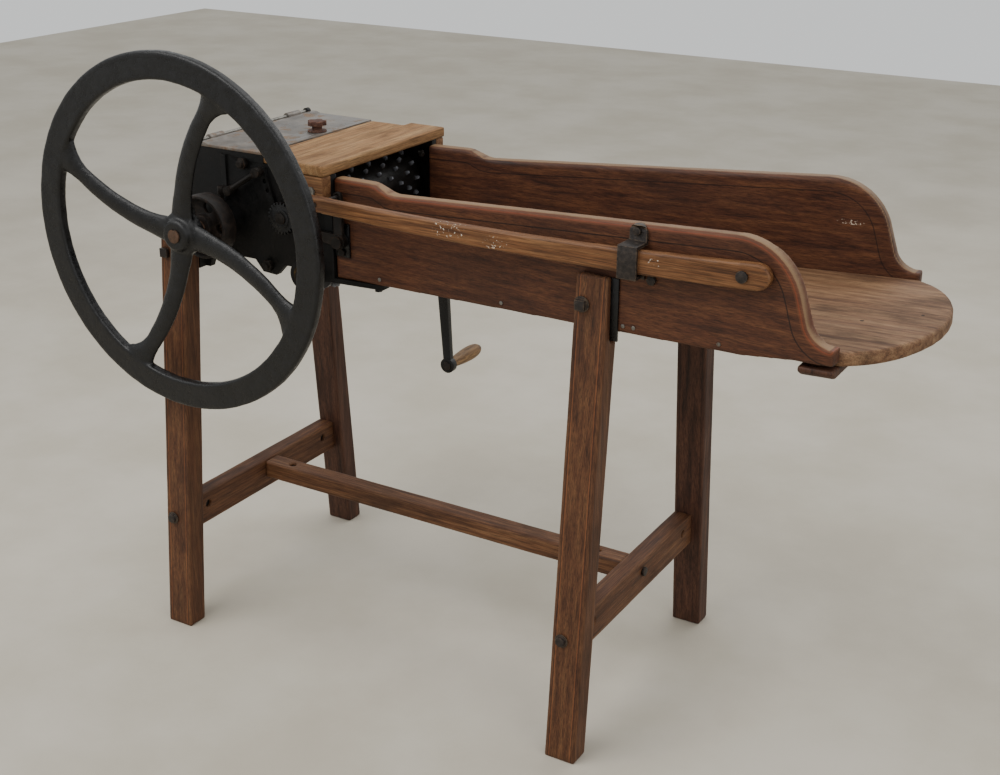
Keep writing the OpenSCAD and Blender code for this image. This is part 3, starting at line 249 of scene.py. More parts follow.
def makeWood(name, s):
    # grain runs along one axis: stretched noise for the growth bands, finer noise for fibres,
    # slow noise for stains, and paler worn arrises where the bevel shader finds an edge
    material = bpy.data.materials.new(name)
    material.use_nodes = True
    tree = material.node_tree
    surface = tree.nodes["Principled BSDF"]
    where = addNode(tree, "TexCoord")
    along = "xyz".index(s["grain"])

    def stretched(across, length):
        # millimetres of one pattern step across and along the grain
        scale = [1000 / across] * 3
        scale[along] = 1000 / length
        return addNode(tree, "Mapping", {"Scale": scale, "Location": s.get("shift", (0, 0, 0))},
                       {"Vector": (where, "Object")})

    bands = addNode(tree, "TexNoise", {"Scale": 1.0, "Detail": 5.0, "Roughness": 0.55, "Distortion": 0.45},
                    {"Vector": (stretched(s["band"], s["band"] * 26), "Vector")})
    grainColour = addRamp(tree, bands, "Fac", [(0.28, s["dark"]), (0.46, s["base"]), (0.72, s["light"])], "LINEAR")
    fibres = addNode(tree, "TexNoise", {"Scale": 1.0, "Detail": 4.0, "Roughness": 0.7},
                     {"Vector": (stretched(s["fibre"], s["fibre"] * 40), "Vector")})
    fibreTone = addRamp(tree, fibres, "Fac", [(0.36, "#5a5a5a"), (0.6, "#ffffff")], "LINEAR")
    withFibres = addNode(tree, "Mix", {"data_type": "RGBA", "blend_type": "MULTIPLY", 0: s["fibreDepth"]},
                         {6: (grainColour, "Color"), 7: (fibreTone, "Color")})
    stains = addNode(tree, "TexNoise", {"Scale": 1.0, "Detail": 6.0, "Roughness": 0.62},
                     {"Vector": (stretched(s["stain"], s["stain"] * 2.5), "Vector")})
    stainMask = addNode(tree, "MapRange", {1: 0.5, 2: 0.68, 3: 0.0, 4: s["stainDepth"]}, {0: (stains, "Fac")})
    stained = addNode(tree, "Mix", {"data_type": "RGBA", 7: linearColour(s["stainColour"])},
                      {0: (stainMask, 0), 6: (withFibres, 2)})
    rounded = addNode(tree, "Bevel", {"samples": 4, "Radius": s.get("wearWidth", 0.005)})
    facing = addNode(tree, "NewGeometry")
    same = addNode(tree, "VectorMath", {"operation": "DOT_PRODUCT"}, {0: (rounded, 0), 1: (facing, "Normal")})
    edge = addNode(tree, "MapRange", {1: 0.995, 2: 0.86, 3: 0.0, 4: 1.0}, {0: (same, "Value")})
    worn = addNode(tree, "Math", {"operation": "MULTIPLY"}, {0: (edge, 0), 1: (bands, "Fac")})
    wornMore = addNode(tree, "Math", {"operation": "MULTIPLY", 1: s["wear"]}, {0: (worn, 0)})
    final = addNode(tree, "Mix", {"data_type": "RGBA", 7: linearColour(s["worn"])}, {0: (wornMore, 0), 6: (stained, 2)})
    if "lining" in s:
        # painted lines and rubbed edge that follow the outline, by the stored distance in millimetres
        edgeFar = addNode(tree, "Attribute", {"attribute_name": "fromArris"})
        broken = addNode(tree, "Math", {"operation": "MULTIPLY_ADD", 1: 2.4}, {0: (fibres, "Fac"), 2: (edgeFar, "Fac")})
        for low, high, colour, strength in s["lining"]:
            rise = addNode(tree, "MapRange", {1: low + 0.8, 2: low + 1.7, 3: 0.0, 4: strength}, {0: (broken, 0)})
            fall = addNode(tree, "MapRange", {1: high + 0.8, 2: high + 1.7, 3: 1.0, 4: 0.0}, {0: (broken, 0)})
            share = addNode(tree, "Math", {"operation": "MULTIPLY"}, {0: (rise, 0), 1: (fall, 0)})
            final = addNode(tree, "Mix", {"data_type": "RGBA", 7: linearColour(colour)}, {0: (share, 0), 6: (final, 2)})
    for spot in s.get("spots", []):
        # nail holes, scratches or paint flecks around one place of the board
        offset = addNode(tree, "VectorMath", {"operation": "SUBTRACT", 1: place(*spot["at"])}, {0: (where, "Object")})
        shaped = addNode(tree, "VectorMath", {"operation": "DIVIDE", 1: [v / 1000 for v in spot["size"]]}, {0: (offset, 0)})
        reach = addNode(tree, "VectorMath", {"operation": "LENGTH"}, {0: (shaped, 0)})
        mask = addNode(tree, "MapRange", {1: 0.75, 2: 1.0, 3: spot["depth"], 4: 0.0}, {0: (reach, "Value")})
        if "fleck" in spot:
            speck = addNode(tree, "TexNoise", {"Scale": 1000 / spot["fleck"], "Detail": 4.0, "Roughness": 0.7},
                            {"Vector": (where, "Object")})
            sharp = addNode(tree, "MapRange", {1: spot["from"], 2: spot["from"] + 0.03, 3: 0.0, 4: 1.0}, {0: (speck, "Fac")})
            mask = addNode(tree, "Math", {"operation": "MULTIPLY"}, {0: (mask, 0), 1: (sharp, 0)})
        final = addNode(tree, "Mix", {"data_type": "RGBA", 7: linearColour(spot["colour"])}, {0: (mask, 0), 6: (final, 2)})
    tree.links.new(final.outputs[2], surface.inputs["Base Color"])
    gloss = addNode(tree, "MapRange", {1: 0.3, 2: 0.7, 3: s["rough"] - 0.08, 4: s["rough"] + 0.12}, {0: (stains, "Fac")})
    tree.links.new(gloss.outputs[0], surface.inputs["Roughness"])
    surface.inputs["Specular IOR Level"].default_value = 0.3
    height = addNode(tree, "Math", {"operation": "MULTIPLY_ADD", 1: 0.5}, {0: (fibres, "Fac"), 2: (bands, "Fac")})
    if "sawMarks" in s:
        # faint marks of the saw across the grain, only in patches
        marks = addNode(tree, "TexWave", {"bands_direction": "X", "Scale": 1000 / s["sawMarks"] / 3.14, "Distortion": 2.5,
                                          "Detail": 2.0, "Detail Scale": 1.5}, {"Vector": (where, "Object")})
        patch = addNode(tree, "MapRange", {1: 0.52, 2: 0.62, 3: 0.0, 4: 0.5}, {0: (stains, "Fac")})
        height = addNode(tree, "Math", {"operation": "MULTIPLY_ADD"}, {0: (marks, "Fac"), 1: (patch, 0), 2: (height, 0)})
    bump = addNode(tree, "Bump", {"Strength": s["bump"], "Distance": 0.0012}, {"Height": (height, 0)})
    tree.links.new(bump.outputs[0], surface.inputs["Normal"])
    return material


def makeIron(name, s):
    # black or bare cast iron: sand-cast lumps in the bump, worn brown edges, uneven old paint gloss
    material = bpy.data.materials.new(name)
    material.use_nodes = True
    tree = material.node_tree
    surface = tree.nodes["Principled BSDF"]
    where = addNode(tree, "TexCoord")
    mottle = addNode(tree, "TexNoise", {"Scale": 1000 / s["patch"], "Detail": 7.0, "Roughness": 0.65},
                     {"Vector": (where, "Object")})
    tone = addRamp(tree, mottle, "Fac", [(0.32, s["dark"]), (0.52, s["base"]), (0.74, s["light"])], "LINEAR")
    chips = addNode(tree, "TexNoise", {"Scale": 1000 / s["chip"], "Detail": 5.0, "Roughness": 0.7},
                    {"Vector": (where, "Object")})
    rounded = addNode(tree, "Bevel", {"samples": 4, "Radius": 0.004})
    facing = addNode(tree, "NewGeometry")
    same = addNode(tree, "VectorMath", {"operation": "DOT_PRODUCT"}, {0: (rounded, 0), 1: (facing, "Normal")})
    edge = addNode(tree, "MapRange", {1: 0.99, 2: 0.8, 3: 0.0, 4: s["edgeWear"]}, {0: (same, "Value")})
    chipSum = addNode(tree, "Math", {"operation": "ADD"}, {0: (edge, 0), 1: (chips, "Fac")})
    chipMask = addNode(tree, "MapRange", {1: s["chipFrom"], 2: s["chipFrom"] + 0.1, 3: 0.0, 4: 0.85}, {0: (chipSum, 0)})
    final = addNode(tree, "Mix", {"data_type": "RGBA", 7: linearColour(s["rust"])}, {0: (chipMask, 0), 6: (tone, "Color")})
    if "rubbed" in s:
        # bare bright metal where a stored distance in millimetres is high
        stored, low, high, colour, strength = s["rubbed"]
        distance = addNode(tree, "Attribute", {"attribute_name": stored})
        bare = addNode(tree, "MapRange", {1: low, 2: high, 3: 0.0, 4: strength}, {0: (distance, "Fac")})
        final = addNode(tree, "Mix", {"data_type": "RGBA", 7: linearColour(colour)}, {0: (bare, 0), 6: (final, 2)})
    tree.links.new(final.outputs[2], surface.inputs["Base Color"])
    gloss = addNode(tree, "MapRange", {1: 0.3, 2: 0.7, 3: s["rough"] - 0.1, 4: s["rough"] + 0.12}, {0: (mottle, "Fac")})
    duller = addNode(tree, "Mix", {"data_type": "FLOAT", 3: 0.85}, {0: (chipMask, 0), 2: (gloss, 0)})
    tree.links.new(duller.outputs[0], surface.inputs["Roughness"])
    surface.inputs["Metallic"].default_value = s["metal"]
    surface.inputs["Specular IOR Level"].default_value = s["shine"]
    grit = addNode(tree, "TexNoise", {"Scale": 1000 / s["grit"], "Detail": 3.0}, {"Vector": (where, "Object")})
    height = addNode(tree, "Math", {"operation": "MULTIPLY_ADD", 1: 2.0}, {0: (mottle, "Fac"), 2: (grit, "Fac")})
    for radius, width in s.get("rings", []):
        # shallow groove round the shaft of the wheel
        offset = addNode(tree, "VectorMath", {"operation": "SUBTRACT", 1: place(*s["axle"])}, {0: (where, "Object")})
        flat = addNode(tree, "VectorMath", {"operation": "MULTIPLY", 1: (1, 0, 1)}, {0: (offset, 0)})
        far = addNode(tree, "VectorMath", {"operation": "LENGTH"}, {0: (flat, 0)})
        near = addNode(tree, "Math", {"operation": "COMPARE", 1: radius / 1000, 2: width / 2000}, {0: (far, "Value")})
        height = addNode(tree, "Math", {"operation": "MULTIPLY_ADD", 1: -1.6}, {0: (near, 0), 2: (height, 0)})
    bump = addNode(tree, "Bump", {"Strength": s["bump"], "Distance": 0.0008}, {"Height": (height, 0)})
    tree.links.new(bump.outputs[0], surface.inputs["Normal"])
    return material


# old sawn oak with oil stain: strong dark bands, greasy dark patches, a scribed line by each arris
legSettings = {"grain": "z", "base": "#5f3b25", "dark": "#3f2718", "light": "#755033", "worn": "#8b6746", "band": 7,
               "fibre": 1.1, "fibreDepth": 0.75, "stain": 80, "stainDepth": 0.62, "stainColour": "#2b1b12",
               "wear": 0.8, "rough": 0.62, "bump": 0.4}
sawnOakUpright = makeWood("sawnOakUpright", dict(legSettings, lining=[(6, 8, "#2c1810", 0.6), (8.5, 10, "#9a5a33", 0.35)]))
sawnOakAcross = makeWood("sawnOakAcross", dict(legSettings, grain="y", shift=(3, 1, 7)))
sawnOakAlong = makeWood("sawnOakAlong", dict(legSettings, grain="x", base="#6a442b", light="#8a6242", shift=(5, 2, 1)))
# the two legs on the crank side and the floor cleat: a darker copy of the leg oak with wavy grain, its extra darkness
# painted shade
darkOakUpright = makeWood("darkOakUpright", dict(legSettings, base="#4c2f22", dark="#2c1a12", light="#63402e", worn="#785640",
                                                 band=10, shift=(2, 7, 4), lining=[(6, 8, "#24140d", 0.5)]))
# varnished hardwood boards, gone dark reddish brown, with rubbed upper edge, red line and dark pinstripe
boardSettings = {"grain": "x", "base": "#54301e", "dark": "#3c2216", "light": "#6a4229", "worn": "#7d5b3e", "band": 9,
                 "fibre": 1.3, "fibreDepth": 0.7, "stain": 120, "stainDepth": 0.5, "stainColour": "#2a180f",
                 "wear": 0.8, "wearWidth": 0.004, "rough": 0.56, "bump": 0.35}
hole = {"size": (2.6, 9, 2.6), "depth": 0.95, "colour": "#160d08"}
nearBoard = makeWood("nearVarnishedBoard", dict(boardSettings, sawMarks=11, lining=[
    (-5, 0.9, "#8d7050", 0.7), (1, 9, "#754328", 0.3), (4.5, 6.5, "#8c3d22", 0.32), (24.5, 26.6, "#1a0e09", 0.9)],
    spots=[dict(hole, at=(-8, -208, 905)), dict(hole, at=(236, -226, 889)), dict(hole, at=(293, -230, 884))]))
# far board: the board colours made darker, painted shade of the trough's inside, with a pale paint fleck
shadedFarBoard = makeWood("farVarnishedBoard", dict(boardSettings, base="#4e2c1c", dark="#301a11", shift=(1, 4, 2), lining=[
    (-5, 0.9, "#84694c", 0.7), (24.5, 26.6, "#1a0e09", 0.75)],
    spots=[{"at": (715, 205, 936), "size": (26, 20, 5), "depth": 0.9, "colour": "#c9b9a4", "fleck": 5, "from": 0.56}]))
# floor board scoured pale by stalks, streaks along the trough
scouredFloor = makeWood("scouredFloor", dict(boardSettings, base="#7d5a3f", dark="#553a29", light="#9a7857", worn="#a1835f",
                                             stainDepth=0.62, stain=70, band=11, rough=0.68,
                                             spots=[dict(hole, at=(826, -50, 849), size=(4, 4, 12)),
                                                    dict(hole, at=(905, 20, 852), size=(3.5, 3.5, 12))]))
# bare pine top, dry and pale, with dark dents
palePine = makeWood("palePine", dict(boardSettings, grain="y", base="#946d46", dark="#6a492c", light="#ad8a60",
                                     worn="#5a4029", band=12, stain=45, stainDepth=0.62, stainColour="#4a3019", rough=0.75,
                                     spots=[{"at": (-215, 60, 1009), "size": (70, 130, 12), "depth": 0.8,
                                             "colour": "#3a2617", "fleck": 9, "from": 0.66}]))
# ash lath, honey brown, polished by hands, with flecks of old white paint
flecks = {"depth": 0.85, "colour": "#d8cdbb", "fleck": 6, "from": 0.6}
handledAsh = makeWood("handledAsh", dict(boardSettings, base="#6f4729", dark="#472b19", light="#8f6540", worn="#ae8a60",
                                         band=6, stain=60, stainDepth=0.5, rough=0.5,
                                         spots=[dict(flecks, at=(165, -250, 950), size=(40, 12, 20)),
                                                dict(flecks, at=(255, -250, 940), size=(30, 12, 14)),
                                                dict(flecks, at=(548, -250, 955), size=(14, 12, 9))]))
# turned beech grip, worn smooth
turnedBeech = makeWood("turnedBeech", dict(boardSettings, grain="y", base="#8d6a45", dark="#5d4128", light="#a88458",
                                           worn="#b08f66", band=5, stainDepth=0.4, rough=0.48, bump=0.2))
# cheeks of the head: oiled pine, end grain towards the trough
cheekPine = makeWood("cheekPine", dict(boardSettings, base="#7a5233", dark="#4f331f", light="#99704a", worn="#a67f58",
                                       band=10, stain=70, rough=0.68))
# brushed black enamel on sand-cast iron, half gloss, chipped brown at edges
blackSettings = {"dark": "#050506", "base": "#09090a", "light": "#121214", "rust": "#2b2019", "patch": 22, "chip": 9,
                 "chipFrom": 0.8, "edgeWear": 0.15, "rough": 0.31, "metal": 0.0, "shine": 0.38, "grit": 1.6, "bump": 0.6}
blackEnamel = makeIron("blackEnamel", blackSettings)
# the same enamel on the wheel, with a shallow turned groove near the rim's edge
wheelEnamel = makeIron("wheelEnamel", dict(blackSettings, axle=(-393, 0, 871), rings=[(327, 1.6)], patch=16, bump=0.8))
# enamel under years of dust and oil, for the head behind the wheel
dustyEnamel = makeIron("dustyEnamel", dict(blackSettings, dark="#060606", base="#0c0b0a", light="#181513", rust="#2c2119",
                                           patch=24, chipFrom=0.7, rough=0.5, shine=0.2))
# oily bare cast iron, dark brown grey, duller
oilyIron = makeIron("oilyIron", dict(blackSettings, dark="#110e0b", base="#1c1815", light="#2f2924", rust="#3f2c1f",
                                     chipFrom=0.62, rough=0.5, metal=0.3, shine=0.25))
# lid: graphite grey satin with brown tarnish
graphiteLid = makeIron("graphiteLid", dict(blackSettings, dark="#56514c", base="#706a64", light="#8d867e", rust="#7b6450",
                                           patch=40, chip=30, chipFrom=0.54, rough=0.36, metal=0.5, shine=0.5, bump=0.25))
# rusted iron of the hand nut, dry brown
rustedIron = makeIron("rustedIron", dict(blackSettings, dark="#301d17", base="#482c22", light="#654335", rust="#74513c",
                                         patch=8, chipFrom=0.58, rough=0.78))
# old pulley, oily brown rust
oilyRust = makeIron("oilyRust", dict(blackSettings, dark="#100c0a", base="#1d1612", light="#33261e", rust="#3f2e22",
                                     patch=12, chipFrom=0.62, rough=0.55, metal=0.1))
# wiped steel with grey shine and brown spots
wipedSteel = makeIron("wipedSteel", dict(blackSettings, dark="#5b5853", base="#7d7a74", light="#98958e", rust="#5a4331",
                                         patch=10, chipFrom=0.66, rough=0.42, metal=0.85, bump=0.2))
# bronze of the bushes, dull and dark under old oil
dullBronze = makeIron("dullBronze", dict(blackSettings, dark="#261d12", base="#3a2e1c", light="#57462a", rust="#20180f",
                                         patch=12, chipFrom=0.7, rough=0.45, metal=0.8, bump=0.2))
# old bolt heads and strap, brown black with rubbed grey corners
agedBolt = makeIron("agedBolt", dict(blackSettings, dark="#1b1715", base="#2a2421", light="#40372f", rust="#62513f",
                                     chipFrom=0.68, edgeWear=0.3, patch=9, rough=0.5, metal=0.25))
# end of the shaft, brown with rust
shaftEnd = makeIron("shaftEnd", dict(blackSettings, dark="#2d2119", base="#4a3526", light="#60483a", rust="#6e4a33",
                                     patch=10, chipFrom=0.6, rough=0.6, metal=0.2))
# feed rollers: oily iron with the spikes' points rubbed bright by the stalks
toothedIron = makeIron("toothedIron", dict(blackSettings, dark="#0c0a09", base="#171412", light="#292420", rust="#3a2a1e",
                                           chipFrom=0.66, rough=0.42, metal=0.2,
                                           rubbed=("fromAxle", -8, -0.5, "#85888f", 0.8)))
materials = {
    "leg_wood": sawnOakUpright, "dark_wood": nearBoard, "pale_wood": palePine, "black_iron": blackEnamel,
    "bare_iron": oilyIron, "lid_iron": graphiteLid, "rusty_iron": rustedIron, "steel": wipedSteel, "bronze": dullBronze,
}
slotOf = {s["node"]: s["material_slot"] for s in frame["record"]["subparts"]}
special = {"front_cross_rail": sawnOakAcross, "rear_cross_rail": sawnOakAcross, "long_rail": sawnOakAlong,
           "trough_floor": scouredFloor, "shift_rod": handledAsh, "crank_grip": turnedBeech,
           "near_cheek": cheekPine, "far_cheek": cheekPine, "crank_shaft": oilyIron, "upper_roller_shaft": oilyIron,
           "roller_blocks": oilyIron, "lever_pin": oilyIron}
for nodeName, cadPiece in frame["nodes"].items():
    cadPiece.data.materials.clear()
    cadPiece.data.materials.append(special.get(nodeName, materials[slotOf[nodeName]]))
print("materials done")

# flywheel: rim, hub and spokes modelled apart, then fused and softened like a sand casting
wheelSettings = {"centre": (-393, -324, 871), "rimOuter": 339.6, "rimInner": 287.8, "rimWidth": 20.6,
                 "rimRound": 4.5, "spokeWide": 22, "spokeThick": 9.5, "spokeLead": 84, "spokeSweep": 21,
                 "spokeDish": 20, "taper": 0.8, "flare": 1.75, "voxel": 2.5,
                 "hub": [(-40.5, 35), (-36, 41), (-14, 42), (-10.5, 39), (-8.5, 33), (-6, 31), (0, 29.5), (2.8, 26)]}


def makeFlywheel(s):
    centre = place(*s["centre"])
    # rim: a rounded section turned about the shaft
    deselectAll()
    bpy.ops.mesh.primitive_plane_add(size=1, location=centre)
    rim = bpy.context.object
    rim.name = "flywheelCasting"
    rim.scale = ((s["rimOuter"] - s["rimInner"]) / 1000, s["rimWidth"] / 1000, 1)
    rim.location.x += (s["rimOuter"] + s["rimInner"]) / 2000
    freezePlace(rim)
    editPiece(rim)
    bpy.ops.mesh.select_all(action="SELECT")
    bpy.ops.mesh.bevel(offset=s["rimRound"] / 1000, segments=4, affect="VERTICES")
    bpy.ops.mesh.delete(type="ONLY_FACE")
    bpy.ops.mesh.select_all(action="SELECT")
    bpy.ops.mesh.spin(steps=220, angle=2 * math.pi, center=centre, axis=(0, 1, 0))
    doneEditing()
    cleanMesh(rim)
    parts = [rim]
    # one spoke: an oval section spun along its arc, then drawn thinner and flared into the rim
    reach = (s["rimInner"] + 8) / 1000
    bend = reach / (2 * math.sin(math.radians(s["spokeSweep"])))
    lead = math.radians(s["spokeLead"])
    start = centre + Vector((math.cos(lead), 0, math.sin(lead))) * 0.02
    arcCentre = start + Vector((math.sin(lead), 0, -math.cos(lead))) * bend
    sweep = 2 * math.asin(reach / (2 * bend)) - 0.02 / bend
    for k in range(4):
        deselectAll()
        bpy.ops.mesh.primitive_circle_add(vertices=20, radius=1, fill_type="NOTHING", location=start)
        spoke = bpy.context.object
        spoke.scale = (s["spokeWide"] / 1000, s["spokeThick"] / 1000, 1)
        spoke.rotation_euler = (0, math.pi / 2 - lead, 0)
        freezePlace(spoke)
        editPiece(spoke)
        bpy.ops.mesh.select_all(action="SELECT")
        bpy.ops.mesh.spin(steps=16, angle=-sweep, center=arcCentre, axis=(0, 1, 0))
        for step in range(17):
            turn = sweep * step / 16
            ringCentre = arcCentre + Matrix.Rotation(turn, 3, "Y") @ (start - arcCentre)
            share = step / 16
            size = 1 + (s["taper"] - 1) * min(1, share * 1.25)
            if share > 0.8:
                size += (s["flare"] - s["taper"]) * ((share - 0.8) / 0.2) ** 2
            if share < 0.2:
                size += 0.25 * (1 - share / 0.2)
            across = arcCentre - ringCentre
            across.normalize()
            along = Vector((0, 1, 0)).cross(across)
            selectWhere(spoke, "vertices", lambda v: abs((v.co - ringCentre).dot(along)) < 0.003)
            bpy.ops.transform.resize(value=(size, min(size, 1.08), size), center_override=ringCentre)
        bpy.ops.mesh.select_all(action="DESELECT")
        bpy.ops.mesh.select_mode(type="EDGE")
        bpy.ops.mesh.select_non_manifold()
        bpy.ops.mesh.edge_face_add()
        doneEditing()
        # tipped about its rim end, so that the hub stands further in than the rim
        tipAngle = math.radians(s["spokeLead"] - s["spokeSweep"])
        rimEnd = centre + Vector((math.cos(tipAngle), 0, math.sin(tipAngle))) * reach
        tipped = (Matrix.Translation(rimEnd)
                  @ Matrix.Rotation(-math.asin(s["spokeDish"] / 1000 / reach), 4, (-math.sin(tipAngle), 0, math.cos(tipAngle)))
                  @ Matrix.Translation(-rimEnd))
        spoke.data.transform(Matrix.Translation(centre) @ Matrix.Rotation(math.radians(90 * k), 4, "Y")
                             @ Matrix.Translation(-centre) @ tipped)
        cleanMesh(spoke)
        parts.append(spoke)
    # hub: one disc drawn out ring by ring towards the front
    deselectAll()
    low, firstRadius = s["hub"][0]
    bpy.ops.mesh.primitive_cylinder_add(vertices=64, radius=firstRadius / 1000, depth=0.002,
                                        location=centre + Vector((0, -low / 1000, 0)), rotation=(math.pi / 2, 0, 0))
    hub = bpy.context.object
    freezePlace(hub)
    lastDepth, lastRadius = low, firstRadius
    for depth, radius in s["hub"][1:]:
        editPiece(hub, "FACE")
        front = centre.y - lastDepth / 1000 - 0.0015
        selectWhere(hub, "polygons", lambda f: f.normal.y < -0.9 and f.center.y < front + 0.0012)
        bpy.ops.mesh.extrude_region_move(TRANSFORM_OT_translate={"value": (0, -(depth - lastDepth) / 1000, 0)})
        change = radius / lastRadius
        bpy.ops.transform.resize(value=(change, 1, change), center_override=centre)
        lastDepth, lastRadius = depth, radius
    doneEditing()
    parts.append(hub)
    deselectAll()
    for part in parts:
        part.select_set(True)
    bpy.context.view_layer.objects.active = rim
    bpy.ops.object.join()
    applyModifier(rim, "REMESH", {"mode": "VOXEL", "voxel_size": s["voxel"] / 1000})
    applyModifier(rim, "SMOOTH", {"factor": 0.5, "iterations": 4})
    roughen(rim, 0.0014, 0.03)
    finishPiece(rim, "flywheel_shaft", ["flywheel"], wheelEnamel, 80)
    return rim


makeFlywheel(wheelSettings)
print("flywheel done")


# sawn timber: each piece starts from its CAD shape, is worn round and made slightly uneven
def wornTimber(nodeName, s, roundFirst=None):
    piece = copyNode(nodeName, nodeName + "Timber")
    if roundFirst:
        # edges that hands and stalks have rounded more than the rest
        editPiece(piece, "EDGE")
        selectWhere(piece, "edges", lambda e: roundFirst(*(piece.data.vertices[i].co for i in e.vertices)))
        bpy.ops.mesh.bevel(offset=s["roundEdge"] / 1000, segments=4)
        doneEditing()
    applyModifier(piece, "BEVEL", {"width": s["arris"] / 1000, "segments": 2, "limit_method": "ANGLE",
                                   "angle_limit": math.radians(35)})
    # a leaning piece is stood square while its mesh is made even, so that its arrises stay straight
    lean = Matrix.Rotation(math.radians(s.get("turn", 0)), 4, s.get("about", "X"))
    piece.data.transform(lean)
    applyModifier(piece, "REMESH", {"mode": "VOXEL", "voxel_size": s["voxel"] / 1000})
    applyModifier(piece, "SMOOTH", {"factor": 0.5, "iterations": s.get("rounds", 2)})
    piece.data.transform(lean.inverted())
    roughen(piece, s["wave"] / 1000, s["waveSize"] / 1000)
    return piece


def storeDistance(piece, name, distance):
    # a number for each point of the mesh, in millimetres, that a material reads
    values = piece.data.attributes.new(name, "FLOAT", "POINT")
    for i, v in enumerate(piece.data.vertices):
        values.data[i].value = distance(v.co)


legShape = {"arris": 3.0, "voxel": 3.4, "wave": 0.7, "waveSize": 90, "rounds": 2}
legEnds = {"front": 457.5, "rear": -457.5}
for nodeName in ("front_near_leg", "front_far_leg", "rear_near_leg", "rear_far_leg"):
    leg = wornTimber(nodeName, dict(legShape, turn=-4.8 if "far" in nodeName else 4.8))
    legMiddle = place(legEnds[nodeName.split("_")[0]] - 30.5, 0, 0).x
    editPiece(leg)
    bpy.ops.mesh.select_all(action="SELECT")
    bpy.ops.mesh.bisect(plane_co=(0, 0, 0.0001), plane_no=(0, 0, 1), clear_inner=True, use_fill=True)
    doneEditing()
    storeDistance(leg, "fromArris", lambda co: (0.0305 - abs(co.x - legMiddle)) * 1000)
    # the far legs take the darker leg oak, painted shade
    finishPiece(leg, "frame", [nodeName], darkOakUpright if "far" in nodeName else sawnOakUpright, 60)
railShape = {"arris": 2.5, "voxel": 3.2, "wave": 0.7, "waveSize": 80}
for nodeName, material in (("front_cross_rail", sawnOakAcross), ("rear_cross_rail", sawnOakAcross),
                           ("long_rail", sawnOakAlong)):
    rail = wornTimber(nodeName, railShape)
    storeDistance(rail, "fromArris", lambda co: 100.0)
    finishPiece(rail, "frame", [nodeName], material, 60)
print("legs and rails done")

# upper outline of the trough's side boards, along the board: shoulder, ogee, straight edge, nose and tail
outlineSettings = {"shoulder": [(-139.5, 982), (-58, 983), (-43, 982), (-29, 976), (-15, 970), (0, 968.5)],
                   "noseCentre": (677, 900.3), "noseRadius": 112, "noseFrom": 93.7, "noseTo": 16,
                   "tailCentre": (841, 905), "tailRadius": 46, "tailFrom": 196, "tailTo": 266}


def boardOutline(s):
    points = [Vector((x, 0, z)) for x, z in s["shoulder"]]
    for centre, radius, a0, a1 in (("noseCentre", "noseRadius", "noseFrom", "noseTo"),
                                   ("tailCentre", "tailRadius", "tailFrom", "tailTo")):
        for i in range(13):
            a = math.radians(s[a0] + (s[a1] - s[a0]) * i / 12)
            points.append(Vector((s[centre][0] + s[radius] * math.cos(a), 0, s[centre][1] + s[radius] * math.sin(a))))
    return points


def distanceToOutline(points, x, z):
    here = Vector((x, 0, z))
    best = 1e9
    for a, b in zip(points, points[1:]):
        run = b - a
        share = max(0, min(1, (here - a).dot(run) / run.length_squared))
        best = min(best, (here - a - run * share).length)
    return best


sideOutline = boardOutline(outlineSettings)
boardShape = {"arris": 2.5, "voxel": 2.9, "wave": 0.8, "waveSize": 110, "roundEdge": 6.5}


def fromOutline(co):
    return distanceToOutline(sideOutline, (co.x * 1000 + 108.5) / math.cos(math.radians(4.2)), co.z * 1000)


def alongOutline(a, b):
    return max(fromOutline(a), fromOutline(b)) < 1.2 and abs(a.y - b.y) < 0.5 * (a - b).length


for nodeName, material in (("near_side_board", nearBoard), ("far_side_board", shadedFarBoard)):
    board = wornTimber(nodeName, dict(boardShape, about="Z", turn=4.2 if "near" in nodeName else -4.2), alongOutline)
    storeDistance(board, "fromArris", fromOutline)
    finishPiece(board, "frame", [nodeName], material, 60)
floorBoard = wornTimber("trough_floor", {"arris": 4, "voxel": 3.6, "wave": 0.7, "waveSize": 120, "rounds": 3})
storeDistance(floorBoard, "fromArris", lambda co: 100.0)
finishPiece(floorBoard, "frame", ["trough_floor"], scouredFloor, 60)
cleat = wornTimber("floor_cleat", {"arris": 2.5, "voxel": 3, "wave": 0.8, "waveSize": 60})
storeDistance(cleat, "fromArris", lambda co: 100.0)
# the cleat takes the darker leg oak, painted shade under the floor
finishPiece(cleat, "frame", ["floor_cleat"], darkOakUpright, 60)
for nodeName, material, slot in (("near_cheek", cheekPine, "dark_wood"), ("far_cheek", cheekPine, "dark_wood"),
                                 ("head_top_board", palePine, "pale_wood")):
    piece = wornTimber(nodeName, {"arris": 2.5, "voxel": 2.4, "wave": 1.0, "waveSize": 45})
    storeDistance(piece, "fromArris", lambda co: 100.0)
    finishPiece(piece, "frame", [nodeName], material, 60)
rod = wornTimber("shift_rod", {"arris": 3.5, "voxel": 2.4, "wave": 1.0, "waveSize": 90})
storeDistance(rod, "fromArris", lambda co: 100.0)
finishPiece(rod, "shift_rod", ["shift_rod"], handledAsh, 60)
print("boards, head timber and rod done")


# iron fittings: edges taken off as cast, forged or worn
def softenFitting(nodeName, body, slot, material, bevel, segments=2, angle=38):
    piece = copyNode(nodeName, nodeName + "Fitting", 2)
    if nodeName == "rod_keeper":
        # the upper ear was forged round
        top = max(v.co.z for v in piece.data.vertices)
        selectWhere(piece, "edges", lambda e: all(piece.data.vertices[i].co.z > top - 0.0005 for i in e.vertices)
                    and abs(piece.data.vertices[e.vertices[0]].co.y - piece.data.vertices[e.vertices[1]].co.y) > 0.003)
        bpy.ops.mesh.bevel(offset=0.0125, segments=6)
        doneEditing()
    applyModifier(piece, "BEVEL", {"width": bevel / 1000, "segments": segments, "limit_method": "ANGLE",
                                   "angle_limit": math.radians(angle), "harden_normals": False})
    return finishPiece(piece, body, [nodeName], material, 40)


